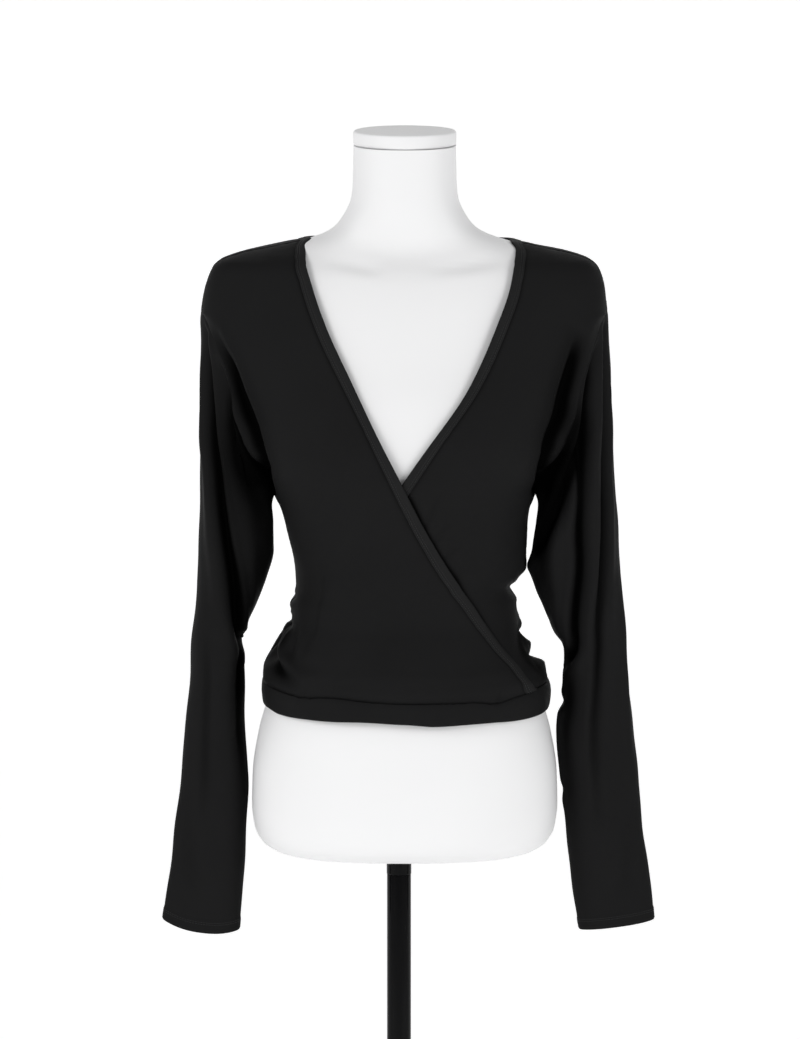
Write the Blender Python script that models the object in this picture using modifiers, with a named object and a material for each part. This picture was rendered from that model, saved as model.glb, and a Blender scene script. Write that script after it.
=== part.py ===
"""A cropped wrap top in black jersey, worn by a white limbless dress form on a pole stand.

Units are metres, +Z is up and the wearer faces -Y, so the wearer's right is at -X. The origin is
the centre of the base plate's underside. A point of the torso is given by an angle and a height:
0 is the middle of the front, +90 degrees the wearer's left side, 180 the middle of the back.
"""
import math
from collections import namedtuple

import bmesh
import bpy
from mathutils import Vector

COLLECTION = "wrap_top_on_dress_form"

# Driving dimensions: the stand and the form
FORM_X = 0.006
BASE_RADIUS = 0.155
BASE_HEIGHT = 0.010
POLE_RADIUS = 0.0127
SOCKET_RADIUS = 0.0131
SOCKET_LENGTH = 0.024
FORM_BOTTOM = 0.7370
CAP_BOTTOM = 1.4860
CAP_TOP = 1.5010
CAP_HALF_WIDTH = 0.0540
CAP_HALF_DEPTH = 0.0530
CAP_Y = 0.0030
CAP_ROUNDING = 0.0025
SOCKET_ROUNDING = 0.0008
BASE_ROUNDING = 0.0020
TOUCH_GAP = 0.0003
SOCKET_TOP = FORM_BOTTOM - TOUCH_GAP
SOCKET_BOTTOM = SOCKET_TOP - SOCKET_LENGTH

# Driving dimensions: the cloth
WALL = 0.0012
LAP = 0.0036
TUCK = 0.0020
TUCK_FADE = math.radians(20)
LIFT_MARGIN = 0.012
LIFT_FADE = 0.040
LIFT_SIDE_FADE = math.radians(15)
BINDING_WIDTH = 0.0140
BINDING_WALL = 0.0016
BAND_HEIGHT = 0.0250
BAND_WALL = 0.0024
BAND_TOP = 0.9155
BAND_FRONT_DROP = 0.0030
BAND_OUT = 0.0011
SEAM_GAP = 0.0005
SLEEVE_SEAM_GAP = 0.0016
BAND_SEAM_GAP = 0.0010
SIDE_SEAM_ANGLE = 0.0015
SHOULDER_POINT_Z = 1.3110
UNDERARM_Z = 1.1240
ARMHOLE_BULGE = math.radians(34)
ARMHOLE_DIP = 0.0070
ARMHOLE_BACK_DIP = 0.0030
ARMHOLE_DIP_WIDTH = 0.017
NECK_RIGHT_Z = 1.3917
NECK_LEFT_Z = 1.3885
BACK_NECK_DROP = 0.0080
BACK_NECK_FLATNESS = 1.5
SHOULDER_MARGIN = 0.002
CORNER = 0.85
SLEEVE_CORNER = 0.90

# Bust of the form, which the cloth follows
BUST_Z = 1.165
BUST_X = 0.076
BUST_RISE = 0.012
BUST_WIDTH = 0.052
BUST_HEIGHT = 0.058

# The outer face of the worn cloth: half widths right and left of FORM_X, depths to front and back
Section = namedtuple("Section", "z right left front back")
CLOTH_SECTIONS = [
    Section(0.9100, 0.1475, 0.1495, 0.1170, 0.1130),
    Section(0.9170, 0.1475, 0.1495, 0.1170, 0.1130),
    Section(0.9260, 0.1495, 0.1525, 0.1190, 0.1150),
    Section(0.9370, 0.1475, 0.1490, 0.1185, 0.1135),
    Section(0.9500, 0.1400, 0.1390, 0.1140, 0.1070),
    Section(0.9730, 0.1263, 0.1243, 0.1050, 0.0960),
    Section(0.9890, 0.1190, 0.1199, 0.0990, 0.0890),
    Section(1.0040, 0.1180, 0.1178, 0.0965, 0.0860),
    Section(1.0210, 0.1140, 0.1145, 0.0945, 0.0840),
    Section(1.0370, 0.1145, 0.1250, 0.0955, 0.0835),
    Section(1.0530, 0.1167, 0.1288, 0.0985, 0.0840),
    Section(1.0850, 0.1247, 0.1290, 0.1070, 0.0860),
    Section(1.1240, 0.1380, 0.1380, 0.1180, 0.0915),
    Section(1.1500, 0.1655, 0.1655, 0.1220, 0.0950),
    Section(1.1800, 0.1968, 0.1968, 0.1225, 0.0990),
    Section(1.2175, 0.2164, 0.2164, 0.1180, 0.1050),
    Section(1.2690, 0.2208, 0.2208, 0.1050, 0.1085),
    Section(1.3110, 0.2128, 0.2128, 0.0920, 0.1060),
    Section(1.3365, 0.2088, 0.2088, 0.0820, 0.1010),
    Section(1.3514, 0.2045, 0.2045, 0.0750, 0.0970),
    Section(1.3588, 0.2012, 0.2012, 0.0710, 0.0945),
    Section(1.3663, 0.1938, 0.1938, 0.0660, 0.0915),
    Section(1.3737, 0.1750, 0.1750, 0.0585, 0.0880),
    Section(1.3811, 0.1466, 0.1466, 0.0480, 0.0840),
    Section(1.3885, 0.1158, 0.1158, 0.0320, 0.0790),
    Section(1.3930, 0.0975, 0.0975, 0.0200, 0.0750),
]

# The dress form, from its rounded bottom edge to the end of its neck
FORM_SECTIONS = [
    Section(0.7370, 0.1240, 0.1240, 0.0740, 0.0780),
    Section(0.7410, 0.1370, 0.1370, 0.0860, 0.0900),
    Section(0.7500, 0.1500, 0.1500, 0.0960, 0.1010),
    Section(0.7650, 0.1580, 0.1580, 0.1030, 0.1090),
    Section(0.7900, 0.1610, 0.1610, 0.1070, 0.1150),
    Section(0.8250, 0.1600, 0.1600, 0.1090, 0.1150),
    Section(0.8650, 0.1540, 0.1540, 0.1090, 0.1090),
    Section(0.9000, 0.1440, 0.1440, 0.1070, 0.1020),
    Section(0.9350, 0.1310, 0.1310, 0.1030, 0.0940),
    Section(0.9700, 0.1160, 0.1150, 0.0960, 0.0860),
    Section(1.0080, 0.1080, 0.1080, 0.0905, 0.0790),
    Section(1.0400, 0.1070, 0.1090, 0.0910, 0.0770),
    Section(1.0850, 0.1160, 0.1180, 0.1020, 0.0800),
    Section(1.1240, 0.1270, 0.1270, 0.1130, 0.0850),
    Section(1.1600, 0.1370, 0.1370, 0.1170, 0.0900),
    Section(1.2175, 0.1540, 0.1540, 0.1130, 0.0985),
    Section(1.2690, 0.1660, 0.1660, 0.1000, 0.1020),
    Section(1.3110, 0.1740, 0.1740, 0.0870, 0.0990),
    Section(1.3365, 0.1770, 0.1770, 0.0770, 0.0940),
    Section(1.3514, 0.1770, 0.1770, 0.0695, 0.0900),
    Section(1.3610, 0.1720, 0.1720, 0.0625, 0.0860),
    Section(1.3690, 0.1610, 0.1610, 0.0545, 0.0810),
    Section(1.3770, 0.1400, 0.1400, 0.0490, 0.0765),
    Section(1.3850, 0.1110, 0.1110, 0.0460, 0.0710),
    Section(1.3920, 0.0890, 0.0890, 0.0455, 0.0665),
    Section(1.4000, 0.0745, 0.0745, 0.0465, 0.0630),
    Section(1.4087, 0.0665, 0.0665, 0.0475, 0.0605),
    Section(1.4193, 0.0604, 0.0604, 0.0485, 0.0585),
    Section(1.4290, 0.0565, 0.0565, 0.0495, 0.0570),
    Section(1.4450, 0.0545, 0.0545, 0.0500, 0.0560),
    Section(1.4857, 0.0535, 0.0535, 0.0500, 0.0560),
]

# The front edges as the front view shows them, from the neck point down to the hem band
EdgePoint = namedtuple("EdgePoint", "x z")
RIGHT_EDGE = [
    EdgePoint(-0.0974, 1.3841), EdgePoint(-0.0972, 1.3729), EdgePoint(-0.0907, 1.3477),
    EdgePoint(-0.0757, 1.3061), EdgePoint(-0.0464, 1.2450), EdgePoint(-0.0162, 1.1832),
    EdgePoint(0.0032, 1.1455), EdgePoint(0.0273, 1.1019), EdgePoint(0.0525, 1.0579),
    EdgePoint(0.0830, 1.0122), EdgePoint(0.1071, 0.9796), EdgePoint(0.1418, 0.9262),
    EdgePoint(0.1450, BAND_TOP),
]
LEFT_EDGE = [
    EdgePoint(0.1217, 1.3800), EdgePoint(0.1208, 1.3729), EdgePoint(0.1164, 1.3477),
    EdgePoint(0.1014, 1.3061), EdgePoint(0.0728, 1.2450), EdgePoint(0.0291, 1.1832),
    EdgePoint(0.0032, 1.1455), EdgePoint(-0.0220, 1.1050), EdgePoint(-0.0480, 1.0560),
    EdgePoint(-0.0700, 1.0080), EdgePoint(-0.0880, 0.9700), EdgePoint(-0.1060, 0.9330),
    EdgePoint(-0.1140, BAND_TOP),
]
CROSSING = 6

# Rows of the hem band, from its top down: share of its height, and how far it bulges
BandRow = namedtuple("BandRow", "share bulge")
BAND_ROWS = [BandRow(0.0, 0.0), BandRow(0.5, 0.0022), BandRow(1.0, 0.0006)]

# Sleeve rings: each runs from a point of the outer outline to one of the inner outline
Ring = namedtuple("Ring", "outer_z inner_z outer_right inner_right outer_left inner_left depth y")
SLEEVE_RINGS = [
    Ring(1.3110, 1.1240, 0.2128, 0.1380, 0.2128, 0.1380, 0.0650, 0.0000),
    Ring(1.2850, 1.1050, 0.2138, 0.1390, 0.2140, 0.1400, 0.0620, 0.0000),
    Ring(1.2500, 1.0850, 0.2145, 0.1380, 0.2156, 0.1385, 0.0580, 0.0000),
    Ring(1.2000, 1.0600, 0.2148, 0.1385, 0.2178, 0.1365, 0.0530, -0.0010),
    Ring(1.1400, 1.0300, 0.2150, 0.1450, 0.2203, 0.1365, 0.0480, -0.0020),
    Ring(1.0800, 1.0000, 0.2160, 0.1567, 0.2237, 0.1452, 0.0430, -0.0030),
    Ring(1.0200, 0.9750, 0.2190, 0.1677, 0.2277, 0.1580, 0.0380, -0.0040),
    Ring(0.9650, 0.9500, 0.2235, 0.1696, 0.2321, 0.1680, 0.0330, -0.0050),
    Ring(0.9100, 0.9050, 0.2278, 0.1694, 0.2368, 0.1665, 0.0290, -0.0055),
    Ring(0.8600, 0.8600, 0.2313, 0.1680, 0.2414, 0.1640, 0.0260, -0.0060),
    Ring(0.8000, 0.8000, 0.2365, 0.1650, 0.2468, 0.1648, 0.0225, -0.0065),
    Ring(0.7400, 0.7400, 0.2446, 0.1677, 0.2535, 0.1719, 0.0195, -0.0070),
    Ring(0.7000, 0.6950, 0.2511, 0.1716, 0.2594, 0.1770, 0.0175, -0.0070),
    Ring(0.6680, 0.6580, 0.2542, 0.1740, 0.2618, 0.1836, 0.0165, -0.0070),
]
ARMHOLE_FADE = 4.0
SEAM_FADE = 1.4

# The largest folds, each a soft groove or ridge along a few stops; a negative height is a groove
Stop = namedtuple("Stop", "a b")
Fold = namedtuple("Fold", "width height stops")
TORSO_FOLDS = [
    Fold(0.0150, -0.0035, [Stop(-88, 0.972), Stop(-72, 0.956), Stop(-56, 0.946)]),
    Fold(0.0140, -0.0040, [Stop(86, 0.985), Stop(98, 0.966), Stop(116, 0.952)]),
    Fold(0.0150, 0.0035, [Stop(84, 0.955), Stop(100, 0.940), Stop(124, 0.936)]),
    Fold(0.0140, -0.0035, [Stop(-90, 0.990), Stop(-110, 0.970), Stop(-134, 0.954)]),
    Fold(0.0150, -0.0040, [Stop(150, 0.996), Stop(176, 0.988), Stop(204, 0.998)]),
]
RIGHT_SLEEVE_FOLDS = [
    Fold(0.0085, -0.0080, [Stop(46, 0.2), Stop(64, 3.1), Stop(112, 5.5), Stop(160, 6.4)]),
    Fold(0.0110, 0.0050, [Stop(88, 1.6), Stop(118, 3.9), Stop(150, 5.3)]),
    Fold(0.0070, -0.0030, [Stop(96, 6.6), Stop(100, 8.4), Stop(104, 10.2)]),
    Fold(0.0100, -0.0070, [Stop(-52, 0.3), Stop(-84, 2.8), Stop(-130, 5.2)]),
    Fold(0.0100, -0.0050, [Stop(-30, 1.8), Stop(-50, 4.6), Stop(-80, 7.6)]),
]
LEFT_SLEEVE_FOLDS = [
    Fold(0.0085, -0.0080, [Stop(52, 0.3), Stop(84, 2.2), Stop(124, 3.2), Stop(158, 4.8)]),
    Fold(0.0090, -0.0055, [Stop(26, 0.4), Stop(46, 4.4), Stop(78, 6.9), Stop(94, 9.2)]),
    Fold(0.0100, 0.0045, [Stop(84, 3.2), Stop(112, 4.6), Stop(146, 6.2)]),
    Fold(0.0100, -0.0070, [Stop(-48, 0.3), Stop(-88, 3.0), Stop(-132, 5.4)]),
    Fold(0.0100, -0.0045, [Stop(-28, 2.2), Stop(-52, 5.0), Stop(-84, 8.0)]),
]
TORSO_FOLD_RADIUS = 0.125
SLEEVE_FOLD_RADIUS = 0.042
SLEEVE_RING_STEP = 0.055
FOLD_END = 0.12
FOLD_FADE = 0.7

# Colours and finish
CLOTH_COLOR = (0.010, 0.010, 0.011)
CLOTH_ROUGHNESS = 0.62
FORM_COLOR = (0.86, 0.86, 0.87)
FORM_ROUGHNESS = 0.55
POLE_COLOR = (0.006, 0.006, 0.007)
POLE_ROUGHNESS = 0.14
BASE_ROUGHNESS = 0.35

# Mesh counts and the steps that slopes are measured over
FRONT_COLUMNS = 15
FRONT_ROWS = 28
RIM_STEPS = 48
RIM_PACE = 1.5
RIM_SPAN = 0.03
BACK_RIM_STEPS = 16
FRONT_INSET_STEPS = 30
BACK_INSET_STEPS = 20
ARMHOLE_STEPS = 12
SIDE_STEPS = 8
BACK_ROWS = 22
SHOULDER_SHARE = 0.27
SHOULDER_STEPS = 5
ARMHOLE_SHARE = 0.60
FRONT_SAG = 0.012
BACK_SAG = 0.045
SLEEVE_SIDES = 24
SLEEVE_STEPS = 20
BAND_SIDES = 44
BACK_NECK_STEPS = 12
FORM_SIDES = 32
FORM_LONGEST_STEP = 0.036
ROUND_SIDES = 32
ROUNDING_STEPS = 3
SLOPE_STEP = 0.004
TURN_STEP = 0.02
RING_STEP = 0.05


class Curve:
    """A smooth curve through a few values that never swings past them."""

    def __init__(self, places, values):
        self.places = places
        self.values = values
        gaps = [b - a for a, b in zip(places, places[1:])]
        rises = [(b - a) / gap for a, b, gap in zip(values, values[1:], gaps)]
        inner = [2 * a * b / (a + b) if a * b > 0 else 0.0 for a, b in zip(rises, rises[1:])]
        self.slopes = [rises[0]] + inner + [rises[-1]]

    def __call__(self, place):
        place = min(max(place, self.places[0]), self.places[-1])
        i = 0
        while i < len(self.places) - 2 and place > self.places[i + 1]:
            i += 1
        gap = self.places[i + 1] - self.places[i]
        t = (place - self.places[i]) / gap
        start = (1 + 2 * t) * (1 - t) ** 2 * self.values[i]
        start += t * (1 - t) ** 2 * gap * self.slopes[i]
        end = t * t * (3 - 2 * t) * self.values[i + 1]
        return start + end + t * t * (t - 1) * gap * self.slopes[i + 1]


def mix(a, b, t):
    return a + (b - a) * t


def smooth(t):
    t = min(max(t, 0.0), 1.0)
    return t * t * (3 - 2 * t)


def power(value, exponent):
    return math.copysign(abs(value) ** exponent, value)


def curves_of(rows, key):
    """One curve for each other column of a table, along its key column."""
    places = [getattr(row, key) for row in rows]
    names = [name for name in rows[0]._fields if name != key]
    return {name: Curve(places, [getattr(row, name) for row in rows]) for name in names}


def fold_height(folds, a, b, a_scale, b_scale):
    """How far the folds lift a surface point: each fades out towards its ends."""
    total = 0.0
    for fold in folds:
        best, along = None, 0.0
        spans = len(fold.stops) - 1
        for i, (start, end) in enumerate(zip(fold.stops, fold.stops[1:])):
            ax, ay = math.radians(start.a) * a_scale, start.b * b_scale
            bx, by = math.radians(end.a) * a_scale, end.b * b_scale
            dx, dy = bx - ax, by - ay
            px, py = a * a_scale - ax, b * b_scale - ay
            t = min(max((px * dx + py * dy) / (dx * dx + dy * dy), 0.0), 1.0)
            distance = math.hypot(px - t * dx, py - t * dy)
            if best is None or distance < best:
                best, along = distance, (i + t) / spans
        fade = math.sin(math.pi * mix(FOLD_END, 1 - FOLD_END, along)) ** FOLD_FADE
        total += fold.height * fade * math.exp(-(best / fold.width) ** 2)
    return total


class Torso:
    """A torso surface from a section table; the cloth's one also carries its folds."""

    def __init__(self, sections, folds=()):
        self.curves = curves_of(sections, "z")
        self.folds = folds

    def half(self, side, z):
        return self.curves["right" if side < 0 else "left"](z)

    def base(self, phi, z):
        s, c = math.sin(phi), math.cos(phi)
        x = self.half(s, z) * power(s, CORNER)
        if c >= 0:
            bump = 0.0
            for side in (-1, 1):
                across = (x - side * BUST_X) / BUST_WIDTH
                up = (z - BUST_Z) / BUST_HEIGHT
                bump += BUST_RISE * math.exp(-across * across - up * up)
            y = -(self.curves["front"](z) + bump) * abs(c) ** CORNER
        else:
            y = self.curves["back"](z) * abs(c) ** CORNER
        return Vector((FORM_X + x, y, z))

    def angle_at(self, x, z):
        """The angle of the front point that lies at x and z."""
        share = min(abs(x - FORM_X) / self.half(x - FORM_X, z), 1.0)
        return math.copysign(math.asin(share ** (1 / CORNER)), x - FORM_X)

    def locate(self, point):
        """The angle and height of the surface point nearest to a point beside the surface."""
        x, z = point.x - FORM_X, point.z
        depth = self.curves["front" if point.y < 0 else "back"](z)
        s = (abs(x) / self.half(x, z)) ** (1 / CORNER)
        c = (abs(point.y) / depth) ** (1 / CORNER)
        phi = math.atan2(math.copysign(s, x), c if point.y < 0 else -c)
        return phi, z

    def relief(self, phi, z):
        """How far the folds and the hollow beside the armhole seam move the cloth out."""
        if not self.folds:
            return 0.0
        height = fold_height(self.folds, phi, z, TORSO_FOLD_RADIUS, 1.0)
        if phi > math.pi / 2:
            height += fold_height(self.folds, phi - math.tau, z, TORSO_FOLD_RADIUS, 1.0)
        if z < SHOULDER_POINT_Z:
            turned = abs(math.remainder(phi, math.tau))
            front, back, reach = armhole_angles(z)
            away = min(abs(turned - front), abs(turned - back)) * TORSO_FOLD_RADIUS
            dip = ARMHOLE_DIP if turned < math.pi / 2 else ARMHOLE_BACK_DIP
            height -= dip * reach * math.exp(-(away / ARMHOLE_DIP_WIDTH) ** 2)
        return height

    def normal(self, phi, z):
        low = max(z - SLOPE_STEP, self.curves["front"].places[0])
        high = min(z + SLOPE_STEP, self.curves["front"].places[-1])
        across = self.base(phi + SLOPE_STEP, z) - self.base(phi - SLOPE_STEP, z)
        return across.cross(self.base(phi, high) - self.base(phi, low)).normalized()

    def at(self, phi, z, out=0.0):
        return self.base(phi, z) + self.normal(phi, z) * (out + self.relief(phi, z))


def armhole_angles(z):
    """Front and back angle of the armhole seam at a height, and its share of the full bulge."""
    share = min(max((SHOULDER_POINT_Z - z) / (SHOULDER_POINT_Z - UNDERARM_Z), 0.0), 1.0)
    reach = 2 * math.sqrt(share * (1 - share))
    return math.pi / 2 - ARMHOLE_BULGE * reach, math.pi / 2 + ARMHOLE_BULGE * reach, reach


def armhole(side, turn):
    """Angle and height of the armhole seam: turn 0 is its top, 90 its front, 180 the underarm."""
    z = mix(SHOULDER_POINT_Z, UNDERARM_Z, (1 - math.cos(turn)) / 2)
    return side * (math.pi / 2 - ARMHOLE_BULGE * math.sin(turn)), z


class Path:
    """A line over a torso through (angle, height) stops, paced by its real length."""

    def __init__(self, torso, stops):
        lengths = [0.0]
        for start, end in zip(stops, stops[1:]):
            lengths.append(lengths[-1] + (torso.base(*end) - torso.base(*start)).length)
        self.length = lengths[-1]
        self.angle = Curve(lengths, [stop[0] for stop in stops])
        self.height = Curve(lengths, [stop[1] for stop in stops])

    def __call__(self, t):
        return self.angle(t * self.length), self.height(t * self.length)


cloth = Torso(CLOTH_SECTIONS, TORSO_FOLDS)
form = Torso(FORM_SECTIONS)


def side_angle(side, front=True):
    """The angle of the side and shoulder seams, a little in front of or behind the middle."""
    return side * (math.pi / 2 + (-SIDE_SEAM_ANGLE if front else SIDE_SEAM_ANGLE))


def front_rim(side):
    """The edge of a front, from the neck point down to the hem band."""
    neck_z = NECK_RIGHT_Z if side < 0 else NECK_LEFT_Z
    neck_x = FORM_X + side * cloth.half(side, neck_z)
    points = [EdgePoint(neck_x, neck_z)] + (RIGHT_EDGE if side < 0 else LEFT_EDGE)
    points.reverse()
    run = Curve([point.z for point in points], [point.x for point in points])
    stops = [(side_angle(side), neck_z)]
    for i in range(1, RIM_STEPS + 1):
        z = mix(neck_z, BAND_TOP, (i / RIM_STEPS) ** RIM_PACE)
        stops.append((cloth.angle_at(run(z), z), z))
    return Path(cloth, stops)


def back_rim():
    """The back neck edge, from the left neck point round to the right one."""
    stops = []
    for i in range(BACK_RIM_STEPS + 1):
        t = i / BACK_RIM_STEPS
        angle = mix(math.pi / 2, 1.5 * math.pi, t)
        drop = BACK_NECK_DROP * abs(math.cos(angle)) ** BACK_NECK_FLATNESS
        stops.append((angle, mix(NECK_LEFT_Z, NECK_RIGHT_Z, t) - drop))
    return Path(cloth, stops)


def moved_in(path, t, width, side):
    """The place on the cloth that lies a width away from a path, to one side of it."""
    ahead, behind = path(min(t + RIM_SPAN, 1.0)), path(max(t - RIM_SPAN, 0.0))
    along = cloth.base(*ahead) - cloth.base(*behind)
    spot = path(t)
    across = along.cross(cloth.normal(*spot)).normalized() * side
    angle, z = cloth.locate(cloth.base(*spot) + across * width)
    return angle, z


def front_inset(side, width):
    """The line a width inside a front's edge, ending on top of the hem band."""
    rim = front_rim(side)
    stops = []
    for i in range(FRONT_INSET_STEPS + 1):
        stop = moved_in(rim, i / FRONT_INSET_STEPS, width, -side)
        if stop[1] < BAND_TOP:
            last = stops[-1]
            t = (last[1] - BAND_TOP) / (last[1] - stop[1])
            stops.append((mix(last[0], stop[0], t), BAND_TOP))
            break
        stops.append(stop)
    stops[0] = (side_angle(side), stops[0][1])
    return Path(cloth, stops)


def back_inset(width):
    """The line a width below the back neck edge."""
    rim = back_rim()
    stops = []
    for i in range(BACK_INSET_STEPS + 1):
        angle, z = moved_in(rim, i / BACK_INSET_STEPS, width, 1)
        stops.append((angle % math.tau, z))
    stops[0] = (side_angle(1, front=False), stops[0][1])
    stops[-1] = (side_angle(-1, front=False) % math.tau, stops[-1][1])
    return Path(cloth, stops)


def shoulder_line(side, start, front=True):
    """The shoulder seam, from a place beside the neck out to the top of the armhole."""
    angle = side_angle(side, front)
    if not front:
        angle %= math.tau
    heights = [row.z for row in reversed(CLOTH_SECTIONS) if row.z > SHOULDER_POINT_Z]
    stops = [start] + [(angle, z) for z in heights if z < start[1] - SHOULDER_MARGIN]
    return Path(cloth, stops + [(angle, SHOULDER_POINT_Z)])


def outer_line(side, front=True):
    """Down the armhole seam and the side seam to the hem band."""
    stops = []
    for i in range(ARMHOLE_STEPS + 1):
        turn = math.pi * i / ARMHOLE_STEPS * (1 if front else -1)
        angle, z = armhole(side, turn)
        stops.append((angle + side_angle(side, front) - side * math.pi / 2, z))
    if not front and side < 0:
        stops = [(angle + math.tau, z) for angle, z in stops]
    seam = Path(cloth, stops)
    heights = [mix(UNDERARM_Z, BAND_TOP, i / SIDE_STEPS) for i in range(SIDE_STEPS + 1)]
    below = Path(cloth, [(stops[-1][0], z) for z in heights])

    def line(v):
        if v < ARMHOLE_SHARE:
            return seam(v / ARMHOLE_SHARE)
        return below((v - ARMHOLE_SHARE) / (1 - ARMHOLE_SHARE))

    return line


def patch(top, bottom, inner, outer, u, v, sag):
    """A place inside four lines over the torso; u runs along the top and bottom, v down.

    The rows sag in their middle, so that they meet the foot of the armhole at an angle.
    """
    place = []
    for i in (0, 1):
        across = mix(inner(v)[i], outer(v)[i], u)
        from_top = top(u)[i] - mix(top(0)[i], top(1)[i], u)
        from_bottom = bottom(u)[i] - mix(bottom(0)[i], bottom(1)[i], u)
        place.append(across + from_top * (1 - v) ** 3 + from_bottom * v)
    place[1] -= sag * math.sin(math.pi * u) * math.sin(math.pi * v)
    return place


def lift(angle, z):
    """How far the right front is lifted off the torso where the left front lies under it."""
    if angle > hidden_rim.places[-1]:
        return LAP
    above = z - hidden_rim(angle) - LIFT_MARGIN
    at_side = smooth((angle + math.pi / 2) / LIFT_SIDE_FADE)
    return LAP * smooth(1 - above / LIFT_FADE) * at_side


def tuck(angle, z):
    """How far the left front is pressed in where the right front covers it."""
    return -TUCK * smooth((hidden_rim.places[-1] - angle) / TUCK_FADE)


def hidden_edge():
    """The height of the left front's covered edge, as a curve of its angle."""
    points = LEFT_EDGE[CROSSING:]
    stops = sorted((cloth.angle_at(point.x, point.z), point.z) for point in points)
    return Curve([stop[0] for stop in stops], [stop[1] for stop in stops])


hidden_rim = hidden_edge()


def material(name, color, roughness, metallic=0.0):
    made = bpy.data.materials.new(name)
    made.use_nodes = True
    shader = made.node_tree.nodes["Principled BSDF"]
    shader.inputs["Base Color"].default_value = (*color, 1.0)
    shader.inputs["Roughness"].default_value = roughness
    shader.inputs["Metallic"].default_value = metallic
    return made


def add_mesh(name, bm, color, roughness):
    mesh = bpy.data.meshes.new(name)
    bm.to_mesh(mesh)
    bm.free()
    mesh.shade_smooth()
    mesh.set_sharp_from_angle(angle=math.radians(50))
    piece = bpy.data.objects.new(name, mesh)
    piece.data.materials.append(material(name, color, roughness))
    collection.objects.link(piece)
    return piece


def loft(rows, closed=False, flip=False):
    """Quads between rows of points; a closed row joins its last point to its first."""
    bm = bmesh.new()
    grid = [[bm.verts.new(point) for point in row] for row in rows]
    count = len(rows[0])
    for upper, lower in zip(grid, grid[1:]):
        for i in range(count if closed else count - 1):
            j = (i + 1) % count
            corners = [upper[i], lower[i], lower[j], upper[j]]
            bm.faces.new(reversed(corners) if flip else corners)
    return bm, grid


def cloth_piece(name, rows, wall, closed=False, flip=False):
    """A cloth wall over an open grid of its inner face."""
    bm, grid = loft(rows, closed, flip)
    piece = add_mesh(name, bm, CLOTH_COLOR, CLOTH_ROUGHNESS)
    solid = piece.modifiers.new("wall", "SOLIDIFY")
    solid.thickness = wall
    solid.offset = 1.0
    solid.use_even_offset = False
    return piece


def front_panel(name, side):
    """A front, between the binding, the shoulder, the armhole, the side and the hem band."""
    inner = front_inset(side, BINDING_WIDTH + SEAM_GAP)
    outer = outer_line(side)
    top = shoulder_line(side, inner(0))
    bottom = Path(cloth, [inner(1), outer(1)])
    rows = []
    for r in range(FRONT_ROWS + 1):
        row = []
        for c in range(FRONT_COLUMNS + 1):
            u, v = c / FRONT_COLUMNS, r / FRONT_ROWS
            place = patch(top, bottom, inner, outer, u, v, FRONT_SAG)
            raised = lift(*place) if side < 0 else tuck(*place)
            row.append(cloth.at(*place, raised - WALL))
        rows.append(row)
    return cloth_piece(name, rows, WALL, flip=side < 0)


def back_panel(name):
    """The back, whose top runs along both shoulders and the neck binding between them."""
    neck = back_inset(BINDING_WIDTH + SEAM_GAP)
    left, right = outer_line(1, front=False), outer_line(-1, front=False)
    left_top = shoulder_line(1, neck(0), front=False)
    right_top = shoulder_line(-1, neck(1), front=False)
    low, high = SHOULDER_SHARE, 1 - SHOULDER_SHARE

    def top(u):
        if u < low:
            return left_top(1 - u / low)
        if u > high:
            return right_top((u - high) / low)
        return neck((u - low) / (high - low))

    bottom = Path(cloth, [left(1), right(1)])
    shares = [low * i / SHOULDER_STEPS for i in range(SHOULDER_STEPS)]
    shares += [mix(low, high, i / BACK_NECK_STEPS) for i in range(BACK_NECK_STEPS)]
    shares += [mix(high, 1.0, i / SHOULDER_STEPS) for i in range(SHOULDER_STEPS + 1)]
    rows = []
    for r in range(BACK_ROWS + 1):
        places = [patch(top, bottom, left, right, u, r / BACK_ROWS, BACK_SAG) for u in shares]
        rows.append([cloth.at(*place, -WALL) for place in places])
    return cloth_piece(name, rows, WALL)


def neck_binding(name):
    """One strip up the right front edge, round the back neck and down the left front edge."""
    places = []
    right_rim, left_rim, behind = front_rim(-1), front_rim(1), back_rim()
    right_line = front_inset(-1, BINDING_WIDTH)
    left_line = front_inset(1, BINDING_WIDTH)
    behind_line = back_inset(BINDING_WIDTH)
    for i in range(FRONT_ROWS, -1, -1):
        t = i / FRONT_ROWS
        places.append((right_rim(t), right_line(t), lift))
    for i in range(BACK_NECK_STEPS - 1, 0, -1):
        t = i / BACK_NECK_STEPS
        places.append((behind(t), behind_line(t), lambda angle, z: 0.0))
    for i in range(FRONT_ROWS + 1):
        t = i / FRONT_ROWS
        places.append((left_rim(t), left_line(t), tuck))
    rows = []
    for rim, line, layer in places:
        row = []
        for t in (0.0, 0.5, 1.0):
            angle, z = mix(rim[0], line[0], t), mix(rim[1], line[1], t)
            raised = layer(angle, z)
            row.append(cloth.at(angle, z, raised - WALL))
        rows.append(row)
    return cloth_piece(name, rows, BINDING_WALL)


def hem_band(name):
    """A folded strip round the hem, a little lower in front, with a soft bulge."""
    rows = []
    for share, bulge in BAND_ROWS:
        row = []
        for i in range(BAND_SIDES):
            angle = math.tau * i / BAND_SIDES
            top = BAND_TOP - BAND_SEAM_GAP
            z = top - share * (BAND_HEIGHT + BAND_FRONT_DROP * math.cos(angle))
            point = cloth.base(angle, top)
            out = cloth.normal(angle, BAND_TOP)
            out.z = 0.0
            point = point + out.normalized() * (bulge - WALL + BAND_OUT)
            row.append(Vector((point.x, point.y, z)))
        rows.append(row)
    return cloth_piece(name, rows, BAND_WALL, closed=True)


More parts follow.
